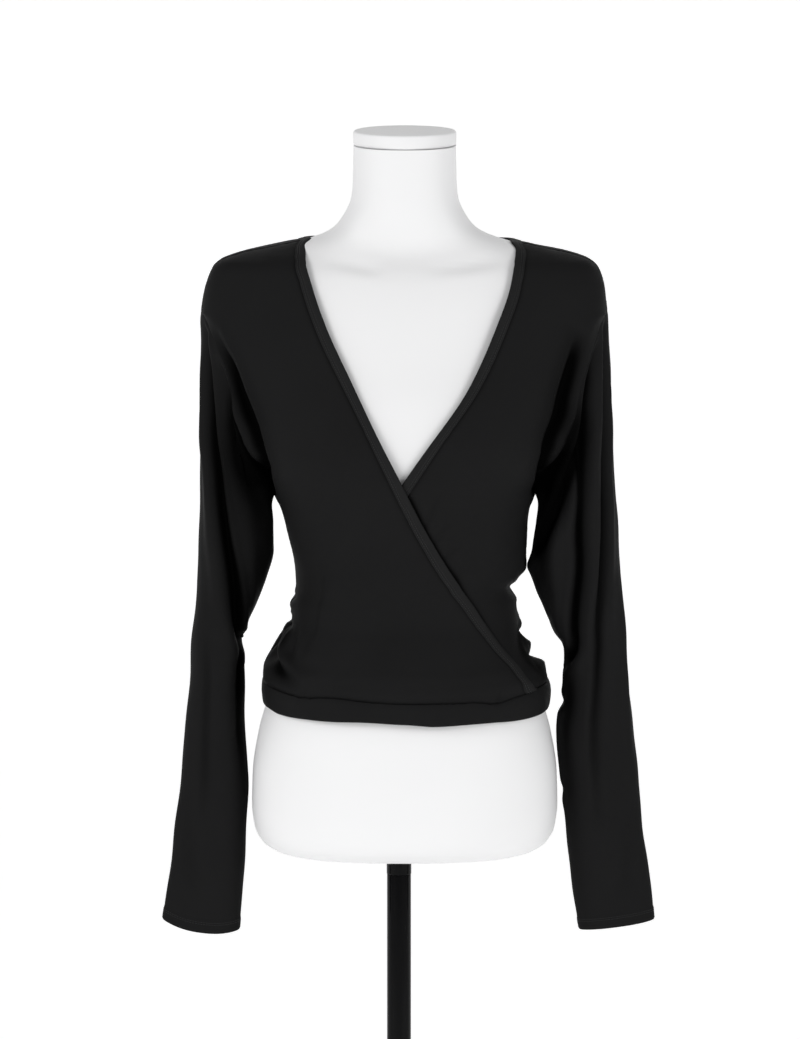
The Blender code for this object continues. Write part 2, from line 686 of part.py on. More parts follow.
class Sleeve:
    """A sleeve as rings that leave the armhole seam and settle into flat hanging ovals."""

    def __init__(self, side, folds):
        steps = list(range(len(SLEEVE_RINGS)))
        self.side = side
        self.folds = folds
        self.last = steps[-1]
        names = ("outer_right", "inner_right") if side < 0 else ("outer_left", "inner_left")
        columns = ("outer_z", "inner_z", "depth", "y") + names
        curves = {name: Curve(steps, [getattr(r, name) for r in SLEEVE_RINGS]) for name in columns}
        self.outer_z, self.inner_z = curves["outer_z"], curves["inner_z"]
        self.depth, self.y = curves["depth"], curves["y"]
        self.outer, self.inner = curves[names[0]], curves[names[1]]

    def oval(self, turn, k):
        """Turn 0 is the outer line of the sleeve, 90 its front and 180 its inner line."""
        share = (1 - power(math.cos(turn), SLEEVE_CORNER)) / 2
        x = FORM_X + self.side * mix(self.outer(k), self.inner(k), share)
        y = self.y(k) - self.depth(k) * power(math.sin(turn), SLEEVE_CORNER)
        return Vector((x, y, mix(self.outer_z(k), self.inner_z(k), share)))

    def base(self, turn, k):
        point = self.oval(turn, k)
        if k < ARMHOLE_FADE:
            seam = cloth.at(*armhole(self.side, turn)) - self.oval(turn, 0.0)
            point += seam * (1 - smooth(k / ARMHOLE_FADE))
        return point

    def at(self, turn, k, out=0.0):
        low, high = max(k - RING_STEP, 0.0), min(k + RING_STEP, self.last)
        across = self.base(turn + TURN_STEP, k) - self.base(turn - TURN_STEP, k)
        down = self.base(turn, high) - self.base(turn, low)
        normal = across.cross(down).normalized() * self.side
        height = fold_height(self.folds, math.remainder(turn, math.tau), k,
                             SLEEVE_FOLD_RADIUS, SLEEVE_RING_STEP)
        fade = smooth(k / SEAM_FADE)
        return self.base(turn, k) + normal * (out + height * fade)


def sleeve(name, side, folds):
    """A sleeve from the armhole seam to the cuff, closed round the arm."""
    cut = Sleeve(side, folds)
    turns = [math.tau * (j + 0.5) / SLEEVE_SIDES for j in range(SLEEVE_SIDES)]
    rows = []
    for i in range(SLEEVE_STEPS + 1):
        k = cut.last * i / SLEEVE_STEPS
        rows.append([cut.at(turn, k, -WALL) for turn in turns])
    for i in range(SLEEVE_SIDES):
        rows[0][i] += (rows[1][i] - rows[0][i]).normalized() * SLEEVE_SEAM_GAP
    return cloth_piece(name, rows, WALL, closed=True, flip=side > 0)


def form_body(name):
    """The form as one closed body, its underside and the end of its neck flat."""
    heights = [row.z for row in FORM_SECTIONS]
    pairs = zip(heights, heights[1:])
    heights += [(a + b) / 2 for a, b in pairs if b - a > FORM_LONGEST_STEP]
    rows = []
    for z in sorted(heights, reverse=True):
        rows.append([form.base(math.tau * i / FORM_SIDES, z) for i in range(FORM_SIDES)])
    bm, grid = loft(rows, closed=True)
    bm.faces.new(grid[0])
    bm.faces.new(reversed(grid[-1]))
    return add_mesh(name, bm, FORM_COLOR, FORM_ROUGHNESS)


def cylinder(name, radius, low, high, color, roughness, rounding=0.0, x=0.0, y=0.0, depth=None):
    """A round or oval upright piece between two heights."""
    bpy.ops.mesh.primitive_cylinder_add(vertices=ROUND_SIDES, radius=radius, depth=high - low,
                                        location=(x, y, (low + high) / 2))
    piece = bpy.context.object
    piece.name = name
    piece.data.name = name
    if depth:
        piece.scale.y = depth / radius
        bpy.ops.object.transform_apply(location=False, rotation=False, scale=True)
    piece.data.materials.append(material(name, color, roughness))
    if rounding:
        bevel = piece.modifiers.new("rounding", "BEVEL")
        bevel.width = rounding
        bevel.segments = ROUNDING_STEPS
    piece.data.shade_smooth()
    piece.data.set_sharp_from_angle(angle=math.radians(40))
    for home in list(piece.users_collection):
        home.objects.unlink(piece)
    collection.objects.link(piece)
    return piece


for left_over in list(bpy.data.objects):
    bpy.data.objects.remove(left_over, do_unlink=True)
collection = bpy.data.collections.new(COLLECTION)
bpy.context.scene.collection.children.link(collection)

front_panel("front_right", -1)
front_panel("front_left", 1)
back_panel("back")
neck_binding("neck_binding")
hem_band("hem_band")
sleeve("sleeve_right", -1, RIGHT_SLEEVE_FOLDS)
sleeve("sleeve_left", 1, LEFT_SLEEVE_FOLDS)
form_body("form_body")
cylinder("form_neck_cap", CAP_HALF_WIDTH, CAP_BOTTOM, CAP_TOP, FORM_COLOR, FORM_ROUGHNESS,
         rounding=CAP_ROUNDING, x=FORM_X, y=CAP_Y, depth=CAP_HALF_DEPTH)
cylinder("pole_socket", SOCKET_RADIUS, SOCKET_BOTTOM, SOCKET_TOP, POLE_COLOR, POLE_ROUGHNESS,
         rounding=SOCKET_ROUNDING)
cylinder("pole", POLE_RADIUS, BASE_HEIGHT + TOUCH_GAP, SOCKET_BOTTOM - TOUCH_GAP,
         POLE_COLOR, POLE_ROUGHNESS)
cylinder("base_plate", BASE_RADIUS, 0.0, BASE_HEIGHT, POLE_COLOR, BASE_ROUGHNESS,
         rounding=BASE_ROUNDING)
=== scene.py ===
# %% [markdown]
# # A black wrap top on a dress form
#
# This lesson dresses a plain set of imported solids with what the eye wants to see: thin jersey with
# folds, a twin-stitched binding, a smooth white form and a glossy pole. Each cell first says what
# it makes and why it is made that way, and then does it.
#
# The solids come first, because many of the pieces that we make take the place of one of them.

import math
from collections import namedtuple

import bmesh
import bpy
import numpy as np
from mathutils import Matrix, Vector


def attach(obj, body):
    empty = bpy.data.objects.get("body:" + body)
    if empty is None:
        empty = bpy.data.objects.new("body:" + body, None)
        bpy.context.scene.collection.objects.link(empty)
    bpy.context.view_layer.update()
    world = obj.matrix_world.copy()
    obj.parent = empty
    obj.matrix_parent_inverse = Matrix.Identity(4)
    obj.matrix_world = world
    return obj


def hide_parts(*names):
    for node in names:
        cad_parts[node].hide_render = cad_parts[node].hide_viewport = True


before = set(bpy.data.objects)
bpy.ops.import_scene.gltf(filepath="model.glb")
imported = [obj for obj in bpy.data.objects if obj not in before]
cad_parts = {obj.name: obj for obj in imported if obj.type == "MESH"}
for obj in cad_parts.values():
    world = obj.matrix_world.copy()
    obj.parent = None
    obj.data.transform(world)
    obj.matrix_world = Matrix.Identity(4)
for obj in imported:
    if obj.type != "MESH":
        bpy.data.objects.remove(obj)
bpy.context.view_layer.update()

# %% [markdown]
# ## The camera
#
# The photo was taken from far away with a long lens, a little from above: the end of the neck is
# a flat ellipse, and both shoulders are drawn without any rush of perspective. So the camera
# stands ten metres off, 8.5 degrees up, and its lens is worked out from how wide the picture is
# at the form.

# %% Place the camera
PICTURE_WIDTH = 0.84
SENSOR_WIDTH = 36.0
CAMERA_DISTANCE = 10.0
CAMERA_TILT = math.radians(8.5)
FARTHEST_SEEN = 60.0
AIM = Vector((0.00105, 0.0, 1.0907))


def add_object(name, data):
    """An object in the scene that holds a mesh, a lamp or a camera."""
    made = bpy.data.objects.new(name, data)
    bpy.context.scene.collection.objects.link(made)
    return made


camera_data = bpy.data.cameras.new("long_lens")
camera_data.sensor_fit = "HORIZONTAL"
camera_data.sensor_width = SENSOR_WIDTH
camera_data.lens = SENSOR_WIDTH * CAMERA_DISTANCE / PICTURE_WIDTH
camera_data.clip_end = FARTHEST_SEEN
camera = add_object("camera", camera_data)
away = Vector((0.0, -math.cos(CAMERA_TILT), math.sin(CAMERA_TILT)))
camera.location = AIM + away * CAMERA_DISTANCE
camera.rotation_euler = (math.pi / 2 - CAMERA_TILT, 0.0, 0.0)
bpy.context.scene.camera = camera
print("lens", round(camera_data.lens), "mm")

# %% [markdown]
# ## Floor, backdrop and light
#
# A shop photo like this one shows a white form that nearly melts into a white ground, and yet the
# folds of the black cloth are deep. Two large soft lamps stand half to the front and half to the
# sides, which lights the form evenly, and a weak sky fills what they miss. The paper glows a
# little by itself, as if it had lamps of its own. It sweeps up from the floor in one curve, which
# hides the corner. Seen from behind the paper is clear, or it would hide the form from a camera
# that goes round it. The standard view keeps white paper white.

# %% Build the sweep and the lights
SKY_STRENGTH = 0.42
PAPER_GLOW = 0.41
FLOOR_DEPTH = 9.0
SWEEP_RADIUS = 2.5
SWEEP_HEIGHT = 7.0
SWEEP_WIDTH = 16.0
SWEEP_STEPS = 16
PAPER_WHITE = 0.97
LAMP_SIZE = 2.2
Lamp = namedtuple("Lamp", "name place watts")
LAMPS = [
    Lamp("front_left_lamp", (-3.6, -2.9, 3.0), 103.0),
    Lamp("front_right_lamp", (3.8, -2.9, 2.4), 78.0),
]


def one_sided(material):
    """Makes a material clear where its back is seen."""
    tree = material.node_tree
    facing = tree.nodes.new("ShaderNodeNewGeometry")
    clear = tree.nodes.new("ShaderNodeBsdfTransparent")
    either = tree.nodes.new("ShaderNodeMixShader")
    tree.links.new(facing.outputs["Backfacing"], either.inputs[0])
    tree.links.new(tree.nodes["Principled BSDF"].outputs[0], either.inputs[1])
    tree.links.new(clear.outputs[0], either.inputs[2])
    tree.links.new(either.outputs[0], tree.nodes["Material Output"].inputs["Surface"])


def add_sweep(name):
    """A floor that curves up into a backdrop."""
    line = [(-FLOOR_DEPTH, 0.0)]
    for i in range(SWEEP_STEPS + 1):
        turn = math.pi / 2 * i / SWEEP_STEPS
        back = FLOOR_DEPTH - SWEEP_RADIUS * (1 - math.sin(turn))
        line.append((back, SWEEP_RADIUS * (1 - math.cos(turn))))
    line.append((FLOOR_DEPTH, SWEEP_HEIGHT))
    mesh = bpy.data.meshes.new(name)
    sides = (-SWEEP_WIDTH / 2, SWEEP_WIDTH / 2)
    places = [(x, y, z) for y, z in line for x in sides]
    faces = [(2 * i, 2 * i + 1, 2 * i + 3, 2 * i + 2) for i in range(len(line) - 1)]
    mesh.from_pydata(places, [], faces)
    mesh.shade_smooth()
    sweep = add_object(name, mesh)
    paper = bpy.data.materials.new("white_paper")
    paper.use_nodes = True
    shader = paper.node_tree.nodes["Principled BSDF"]
    shader.inputs["Base Color"].default_value = (PAPER_WHITE, PAPER_WHITE, PAPER_WHITE, 1.0)
    shader.inputs["Roughness"].default_value = 0.9
    shader.inputs["Specular IOR Level"].default_value = 0.1
    shader.inputs["Emission Color"].default_value = (1.0, 1.0, 1.0, 1.0)
    shader.inputs["Emission Strength"].default_value = PAPER_GLOW
    one_sided(paper)
    mesh.materials.append(paper)


def add_lamp(name, place, watts):
    """A soft square lamp that looks at the middle of the top."""
    lamp_data = bpy.data.lights.new(name, "AREA")
    lamp_data.shape = "SQUARE"
    lamp_data.size = LAMP_SIZE
    lamp_data.energy = watts
    lamp = add_object(name, lamp_data)
    lamp.location = place
    lamp.rotation_euler = (AIM - Vector(place)).to_track_quat("-Z", "Y").to_euler()


add_sweep("sweep")
for lamp in LAMPS:
    add_lamp(*lamp)
sky = bpy.data.worlds.new("white_sky")
sky.use_nodes = True
sky.node_tree.nodes["Background"].inputs["Color"].default_value = (1.0, 1.0, 1.0, 1.0)
sky.node_tree.nodes["Background"].inputs["Strength"].default_value = SKY_STRENGTH
bpy.context.scene.world = sky
bpy.context.scene.view_settings.view_transform = "Standard"
print("stage and", len(LAMPS), "lamps")

# %% [markdown]
# ## Shader arithmetic
#
# A finish is mostly small sums: this noise times that, plus a little. Wiring each sum by hand is
# long and hard to read, so one small class wraps a socket and lets +, - and * do the wiring.
# Colours mix through one method, and any other node comes from `node`.

# %% Wrap a socket so that it can be added and multiplied


class Value:
    """A number that flows through a material."""

    def __init__(self, finish, socket):
        self.finish = finish
        self.socket = socket

    def math(self, operation, first, second):
        """One Math node, its result ready for the next sum."""
        made = self.finish.node("ShaderNodeMath", {"operation": operation}, {0: first, 1: second})
        return Value(self.finish, made.outputs[0])

    def __add__(self, other):
        return self.math("ADD", self, other)

    def __radd__(self, other):
        return self.math("ADD", other, self)

    def __sub__(self, other):
        return self.math("SUBTRACT", self, other)

    def __rsub__(self, other):
        return self.math("SUBTRACT", other, self)

    def __mul__(self, other):
        return self.math("MULTIPLY", self, other)

    def __rmul__(self, other):
        return self.math("MULTIPLY", other, self)

    def wave(self):
        """The sine of the value."""
        return self.math("SINE", self, 0.0)


class Finish:
    """One material, its main shader and the nodes that feed it."""

    def __init__(self, name):
        self.material = bpy.data.materials.new(name)
        self.material.use_nodes = True
        self.tree = self.material.node_tree
        self.shader = self.tree.nodes["Principled BSDF"]

    def node(self, kind, settings=None, sockets=None):
        """Adds a node: its settings first, then its sockets' values or links."""
        made = self.tree.nodes.new(kind)
        for key, setting in (settings or {}).items():
            setattr(made, key, setting)
        for key, value in (sockets or {}).items():
            self.feed(made.inputs[key], value)
        return made

    def feed(self, socket, value):
        """Links a made value to a socket, or writes a plain one into it."""
        if isinstance(value, Value):
            value = value.socket
        if isinstance(value, bpy.types.NodeSocket):
            self.tree.links.new(value, socket)
        else:
            socket.default_value = value

    def set(self, **values):
        """Fixed values of the main shader, by socket name with underscores for spaces."""
        for key, value in values.items():
            self.shader.inputs[key.replace("_", " ")].default_value = value

    def place(self):
        """The object's own coordinates, in metres."""
        return self.node("ShaderNodeTexCoord").outputs["Object"]

    def spread(self):
        """The piece's own flat pattern, in metres, as its across and along values."""
        flat = self.node("ShaderNodeUVMap", {"uv_map": "flat"}).outputs["UV"]
        parts = self.node("ShaderNodeSeparateXYZ", None, {"Vector": flat})
        return Value(self, parts.outputs["X"]), Value(self, parts.outputs["Y"])

    def noise(self, scale, detail=3.0, where=None):
        """Soft random values around a half."""
        sockets = {"Vector": where or self.place(), "Scale": scale, "Detail": detail}
        return Value(self, self.node("ShaderNodeTexNoise", None, sockets).outputs["Fac"])

    def kept(self, name):
        """The number that the piece's own points carry under a name."""
        made = self.node("ShaderNodeAttribute", {"attribute_name": name})
        return Value(self, made.outputs["Fac"])

    def color(self, given):
        """A made colour as it is, or a fixed one with its alpha."""
        return given if isinstance(given, bpy.types.NodeSocket) else (*given, 1.0)

    def tint(self, dark, light, share):
        """A colour between two others."""
        sockets = {"Factor": share, "A": self.color(dark), "B": self.color(light)}
        made = self.node("ShaderNodeMix", {"data_type": "RGBA"})
        for key, value in sockets.items():
            kind = "VALUE" if key == "Factor" else "RGBA"
            found = [s for s in made.inputs if s.name == key and s.type == kind]
            self.feed(found[0], value)
        return [s for s in made.outputs if s.type == "RGBA"][0]

    def bump(self, height, distance, strength=1.0):
        """A surface normal that small heights disturb."""
        sockets = {"Height": height, "Distance": distance, "Strength": strength}
        return self.node("ShaderNodeBump", None, sockets).outputs["Normal"]

    def paint(self, **sockets):
        """Links made values into the main shader."""
        for key, value in sockets.items():
            self.feed(self.shader.inputs[key.replace("_", " ")], value)

    def sink(self, color, share):
        """Mixes a second shader over the main one, of a plain colour and without any gloss."""
        plain = {"Base Color": self.color(color), "Roughness": 1.0, "Specular IOR Level": 0.0}
        dull = self.node("ShaderNodeBsdfPrincipled", None, plain)
        sockets = {0: share, 1: self.shader.outputs[0], 2: dull.outputs[0]}
        either = self.node("ShaderNodeMixShader", None, sockets)
        self.feed(self.tree.nodes["Material Output"].inputs["Surface"], either.outputs[0])


print("shader helpers ready")

# %% [markdown]
# ## The finishes
#
# Viscose jersey is knitted from very fine yarn. Its face shows narrow upright columns, a little
# under a millimetre wide, and each column is a stack of small V stitches. Seen from two metres
# that is only a dull softness, but near by it is what makes cloth look like cloth, so it goes
# into the bump. The black is never quite even, so a cloudy noise moves it a little.
#
# A camera lets the last light in a deep crease drop to plain black, and so do our eyes. To get
# that, each piece of cloth carries a number on its points, named shade, which says how much light
# its folds keep away. The colour reads it and sinks with it: this is painted shade. Cloth seen at
# a flat angle also mirrors a little of the white room, so where the shade is deep a shader without
# gloss takes over and paints that sheen out.

# %% Make the jersey
WALE_WIDTH = 0.0009
COURSE_HEIGHT = 0.0007
STITCH_SLANT = 0.9
WALE_SHARE = 0.6
FUZZ_HEIGHT = 1.2
KNIT_DEPTH, KNIT_STRENGTH = 0.00005, 0.5
CLOUD_SCALE, FUZZ_SCALE = 14.0, 900.0
CLOUD_SHARE = 0.7
GLOSS_SPREAD = 0.12
PAINTED_SHADE_BLACK = (0.0002, 0.0002, 0.0002)
GLOSS_SHADE = 0.45
GLOSS_FADE = 1.1


def jersey(name, dark, light, roughness):
    """Fine knitted cloth, its columns along the length of the flat pattern."""
    finish = Finish(name)
    across, along = finish.spread()
    column = (across * (math.tau / WALE_WIDTH)).wave()
    course = (along * (math.tau / COURSE_HEIGHT) + column * STITCH_SLANT).wave()
    knit = column * WALE_SHARE + course * (1 - WALE_SHARE)
    cloudy = finish.noise(CLOUD_SCALE, 4.0)
    fuzz = finish.noise(FUZZ_SCALE, 2.0)
    black = finish.tint(dark, light, cloudy * CLOUD_SHARE + fuzz * (1 - CLOUD_SHARE))
    shade = finish.kept("shade")
    # Painted shade: the base colour sinks towards black with the shade that the points carry.
    finish.paint(
        Base_Color=finish.tint(black, PAINTED_SHADE_BLACK, shade),
        Roughness=cloudy * GLOSS_SPREAD + roughness,
        Normal=finish.bump(knit + fuzz * FUZZ_HEIGHT, KNIT_DEPTH, KNIT_STRENGTH),
    )
    finish.set(Specular_IOR_Level=0.03)
    # Painted shade: where the shade is deep, a black shader without gloss takes over and paints out
    # the sheen.
    finish.sink(PAINTED_SHADE_BLACK, (shade - GLOSS_SHADE) * GLOSS_FADE)
    return finish.material


jersey_cloth = jersey("black_jersey", (0.0082, 0.0082, 0.0084), (0.0116, 0.0116, 0.0119), 0.58)
# The binding is the same black jersey, its colour painted lighter as a painted highlight for the
# light its rounded edge catches.
binding_cloth_painted_lighter = jersey("binding_jersey_painted_lighter", (0.0120, 0.0120, 0.0122), (0.0158, 0.0158, 0.0161), 0.55)
print("cloth finishes:", jersey_cloth.name, binding_cloth_painted_lighter.name)

# %% [markdown]
# The thread is twisted polyester, a touch shinier than the cloth. The form is moulded in smooth
# white plastic with a dull face, so only slow changes in roughness are needed. The pole has been
# wiped many times: its gloss varies in long, weak streaks.

# %% Make the thread, the form, the pole and the base
STREAK_SQUEEZE = 0.15
WORN_LIGHTER = 1.6

thread = Finish("black_thread")
thread.paint(
    Base_Color=thread.tint((0.008, 0.008, 0.008), (0.016, 0.016, 0.017), thread.noise(2500.0)),
    Roughness=thread.noise(1800.0) * 0.2 + 0.38,
)
thread.set(Specular_IOR_Level=0.35)

white_form = Finish("white_form")
form_cloud = white_form.noise(9.0, 3.0)
white_form.paint(
    Base_Color=white_form.tint((0.785, 0.785, 0.79), (0.81, 0.81, 0.815), form_cloud),
    Roughness=form_cloud * GLOSS_SPREAD + 0.46,
    Normal=white_form.bump(white_form.noise(420.0, 2.0), 0.00006, 0.35),
)
white_form.set(Specular_IOR_Level=0.35)


def black_metal(name, color, low, high, grain):
    """Painted metal whose gloss varies a little."""
    finish = Finish(name)
    sockets = {"Vector": finish.place(), "Scale": (1.0, 1.0, STREAK_SQUEEZE)}
    stretched = finish.node("ShaderNodeMapping", None, sockets)
    streaks = finish.noise(grain, 3.0, stretched.outputs["Vector"])
    finish.paint(
        Base_Color=finish.tint(color, [WORN_LIGHTER * c for c in color], streaks),
        Roughness=streaks * (high - low) + low,
    )
    return finish


pole_paint = black_metal("gloss_black_pole", (0.0018, 0.0018, 0.0020), 0.06, 0.13, 60.0)
pole_paint.set(Specular_IOR_Level=0.07)
base_paint = black_metal("satin_black_base", (0.008, 0.008, 0.009), 0.32, 0.48, 30.0)
base_paint.paint(Normal=base_paint.bump(base_paint.noise(700.0, 2.0), 0.0001, 0.4))
print("other finishes:", len(bpy.data.materials), "materials so far")

# %% [markdown]
# ## The shape of the dressed torso
#
# Cloth that hangs on a form has a simple body under its folds. We describe that body by a table
# of level cuts: how far it reaches to the right, left, front and back at each height. Smooth
# curves through the table give any height between. The folds come later and are laid on top.

# %% Measure the worn cloth
FORM_X = 0.006
CORNER = 0.85
BAND_TOP = 0.9155
SHOULDER_POINT_Z = 1.3110
UNDERARM_Z = 1.1240
NECK_RIGHT_Z = 1.3892
NECK_LEFT_Z = 1.3861

Section = namedtuple("Section", "z right left front back")
CLOTH_SECTIONS = [
    Section(0.9100, 0.1475, 0.1495, 0.1170, 0.1130),
    Section(0.9170, 0.1475, 0.1495, 0.1170, 0.1130),
    Section(0.9260, 0.1468, 0.1502, 0.1190, 0.1150),
    Section(0.9370, 0.1462, 0.1428, 0.1185, 0.1135),
    Section(0.9500, 0.1400, 0.1330, 0.1140, 0.1070),
    Section(0.9600, 0.1342, 0.1276, 0.1102, 0.1022),
    Section(0.9730, 0.1263, 0.1237, 0.1050, 0.0960),
    Section(0.9890, 0.1190, 0.1199, 0.0990, 0.0890),
    Section(1.0040, 0.1180, 0.1178, 0.0965, 0.0860),
    Section(1.0210, 0.1140, 0.1145, 0.0945, 0.0840),
    Section(1.0370, 0.1145, 0.1250, 0.0955, 0.0835),
    Section(1.0530, 0.1167, 0.1288, 0.0985, 0.0840),
    Section(1.0850, 0.1247, 0.1290, 0.1070, 0.0860),
    Section(1.1240, 0.1380, 0.1380, 0.1180, 0.0915),
    Section(1.1500, 0.1655, 0.1655, 0.1220, 0.0950),
    Section(1.1800, 0.1968, 0.1968, 0.1225, 0.0990),
    Section(1.2175, 0.2164, 0.2164, 0.1180, 0.1050),
    Section(1.2690, 0.2208, 0.2208, 0.1050, 0.1085),
    Section(1.3110, 0.2128, 0.2128, 0.0920, 0.1060),
    Section(1.3365, 0.2088, 0.2088, 0.0820, 0.1010),
    Section(1.3514, 0.2045, 0.2045, 0.0750, 0.0970),
    Section(1.3588, 0.2012, 0.2012, 0.0710, 0.0945),
    Section(1.3655, 0.1938, 0.1938, 0.0660, 0.0915),
    Section(1.3713, 0.1750, 0.1750, 0.0585, 0.0880),
    Section(1.3776, 0.1466, 0.1466, 0.0480, 0.0840),
    Section(1.3849, 0.1158, 0.1158, 0.0320, 0.0790),
    Section(1.3893, 0.0975, 0.0975, 0.0200, 0.0750),
]

EdgePoint = namedtuple("EdgePoint", "x z")
RIGHT_EDGE = [
    EdgePoint(-0.0974, 1.3841), EdgePoint(-0.0972, 1.3729), EdgePoint(-0.0907, 1.3477),
    EdgePoint(-0.0757, 1.3061), EdgePoint(-0.0464, 1.2450), EdgePoint(-0.0162, 1.1832),
    EdgePoint(0.0032, 1.1455), EdgePoint(0.0243, 1.1019), EdgePoint(0.0483, 1.0579),
    EdgePoint(0.0762, 1.0122), EdgePoint(0.0968, 0.9796), EdgePoint(0.1140, 0.9551),
    EdgePoint(0.1334, 0.9300), EdgePoint(0.1415, BAND_TOP),
]
LEFT_EDGE = [
    EdgePoint(0.1217, 1.3800), EdgePoint(0.1208, 1.3729), EdgePoint(0.1164, 1.3477),
    EdgePoint(0.1014, 1.3061), EdgePoint(0.0728, 1.2450), EdgePoint(0.0291, 1.1832),
    EdgePoint(0.0032, 1.1455), EdgePoint(-0.0220, 1.1050), EdgePoint(-0.0480, 1.0560),
    EdgePoint(-0.0700, 1.0080), EdgePoint(-0.0880, 0.9700), EdgePoint(-0.1060, 0.9330),
    EdgePoint(-0.1140, BAND_TOP),
]
CROSSING = 6


class Curve:
    """A smooth curve through a few values that never swings past them."""

    def __init__(self, places, values):
        self.places = np.asarray(places, float)
        self.values = np.asarray(values, float)
        rises = np.diff(self.values) / np.diff(self.places)
        before, after = rises[:-1], rises[1:]
        same = before * after > 0
        total = np.where(same, before + after, 1.0)
        inner = np.where(same, 2 * before * after / total, 0.0)
        self.slopes = np.concatenate([rises[:1], inner, rises[-1:]])

    def __call__(self, place):
        place = np.clip(place, self.places[0], self.places[-1])
        i = np.searchsorted(self.places, place, side="right") - 1
        i = np.clip(i, 0, len(self.places) - 2)
        gap = self.places[i + 1] - self.places[i]
        t = (place - self.places[i]) / gap
        value = (1 + 2 * t) * (1 - t) ** 2 * self.values[i]
        value = value + t * (1 - t) ** 2 * gap * self.slopes[i]
        value = value + t * t * (3 - 2 * t) * self.values[i + 1]
        return value + t * t * (t - 1) * gap * self.slopes[i + 1]


def mix(a, b, t):
    """The value a share t of the way from a to b."""
    return a + (b - a) * t


def smooth(t):
    """A share that starts and ends gently, held between 0 and 1."""
    t = np.clip(t, 0.0, 1.0)
    return t * t * (3 - 2 * t)


def power(value, exponent):
    """A power that keeps the sign."""
    return np.sign(value) * np.abs(value) ** exponent


def curves_of(rows, places):
    """One curve for each column of a table, whose rows lie at the given places."""
    names = rows[0]._fields
    return {name: Curve(places, [getattr(row, name) for row in rows]) for name in names}


def unit(vectors):
    """Vectors made one long."""
    return vectors / np.linalg.norm(vectors, axis=-1, keepdims=True)


print("tables of", len(CLOTH_SECTIONS), "cuts and", len(RIGHT_EDGE), "edge points a side")

# %% [markdown]
# A point of the torso is given by an angle and a height. Angle 0 is the middle of the front, 90
# degrees the wearer's left side and 180 the middle of the back. The cuts are not true ovals: a
# power a little under one makes their corners fuller, as a rib cage is. Two soft rises stand for
# the bust.

# %% Turn the table into a surface
BUST_Z = 1.165
BUST_X = 0.076
BUST_RISE = 0.012
BUST_WIDTH = 0.052
BUST_HEIGHT = 0.058
ARMHOLE_BULGE = math.radians(34)
ARMHOLE_DIP = 0.0090
ARMHOLE_BACK_DIP = 0.0030
ARMHOLE_DIP_WIDTH = 0.020
TORSO_RADIUS = 0.125
SLOPE_STEP = 0.004


def armhole_angles(z):
    """Front and back angle of the armhole seam at a height, and its share of the full bulge."""
    share = np.clip((SHOULDER_POINT_Z - z) / (SHOULDER_POINT_Z - UNDERARM_Z), 0.0, 1.0)
    reach = 2 * np.sqrt(share * (1 - share))
    return math.pi / 2 - ARMHOLE_BULGE * reach, math.pi / 2 + ARMHOLE_BULGE * reach, reach


def armhole(side, turn, spread=1.0):
    """Angle and height of the armhole seam: turn 0 is its top, 90 its front, 180 the underarm."""
    z = mix(SHOULDER_POINT_Z, UNDERARM_Z, (1 - spread * np.cos(turn)) / 2)
    return side * (math.pi / 2 - ARMHOLE_BULGE * spread * np.sin(turn)), z


class Torso:
    """A torso surface from a section table."""

    def __init__(self, sections):
        self.curves = curves_of(sections, [row.z for row in sections])

    def half(self, side, z):
        """Half of the width, which differs between the right and the left side."""
        return np.where(side < 0, self.curves["right"](z), self.curves["left"](z))

    def base(self, phi, z):
        """The points at these angles and heights."""
        phi, z = np.broadcast_arrays(np.asarray(phi, float), np.asarray(z, float))
        s, c = np.sin(phi), np.cos(phi)
        x = self.half(s, z) * power(s, CORNER)
        bump = 0.0
        for side in (-1, 1):
            across = (x - side * BUST_X) / BUST_WIDTH
            up = (z - BUST_Z) / BUST_HEIGHT
            bump = bump + BUST_RISE * np.exp(-across * across - up * up)
        front = -(self.curves["front"](z) + bump)
        y = np.where(c >= 0, front, self.curves["back"](z)) * np.abs(c) ** CORNER
        return np.stack([FORM_X + x, y, z], axis=-1)

    def angle_at(self, x, z):
        """The angle of the front point that lies at x and z."""
        share = np.minimum(np.abs(x - FORM_X) / self.half(x - FORM_X, z), 1.0)
        return np.copysign(np.arcsin(share ** (1 / CORNER)), x - FORM_X)

    def locate(self, points):
        """The angles and heights of the surface points nearest to points beside it."""
        x, y, z = points[..., 0] - FORM_X, points[..., 1], points[..., 2]
        depth = np.where(y < 0, self.curves["front"](z), self.curves["back"](z))
        s = (np.abs(x) / self.half(x, z)) ** (1 / CORNER)
        c = (np.abs(y) / depth) ** (1 / CORNER)
        return np.arctan2(np.copysign(s, x), np.where(y < 0, c, -c)), z

    def normal(self, phi, z):
        """The way straight out of the surface."""
        z = np.asarray(z, float)
        lowest, *_, highest = self.curves["front"].places
        low, high = np.maximum(z - SLOPE_STEP, lowest), np.minimum(z + SLOPE_STEP, highest)
        across = self.base(phi + SLOPE_STEP, z) - self.base(phi - SLOPE_STEP, z)
        return unit(np.cross(across, self.base(phi, high) - self.base(phi, low)))

    def hollow(self, phi, z):
        """The soft hollow that runs beside the armhole seam."""
        turned = np.abs(np.mod(np.asarray(phi) + math.pi, math.tau) - math.pi)
        front, back, reach = armhole_angles(z)
        away = np.minimum(np.abs(turned - front), np.abs(turned - back)) * TORSO_RADIUS
        depth = np.where(turned < math.pi / 2, ARMHOLE_DIP, ARMHOLE_BACK_DIP)
        hollow = depth * reach * np.exp(-(away / ARMHOLE_DIP_WIDTH) ** 2)
        return np.where(z < SHOULDER_POINT_Z, -hollow, 0.0)


cloth = Torso(CLOTH_SECTIONS)
print("the front of the cloth at bust height:", cloth.base(0.6, BUST_Z).round(4))
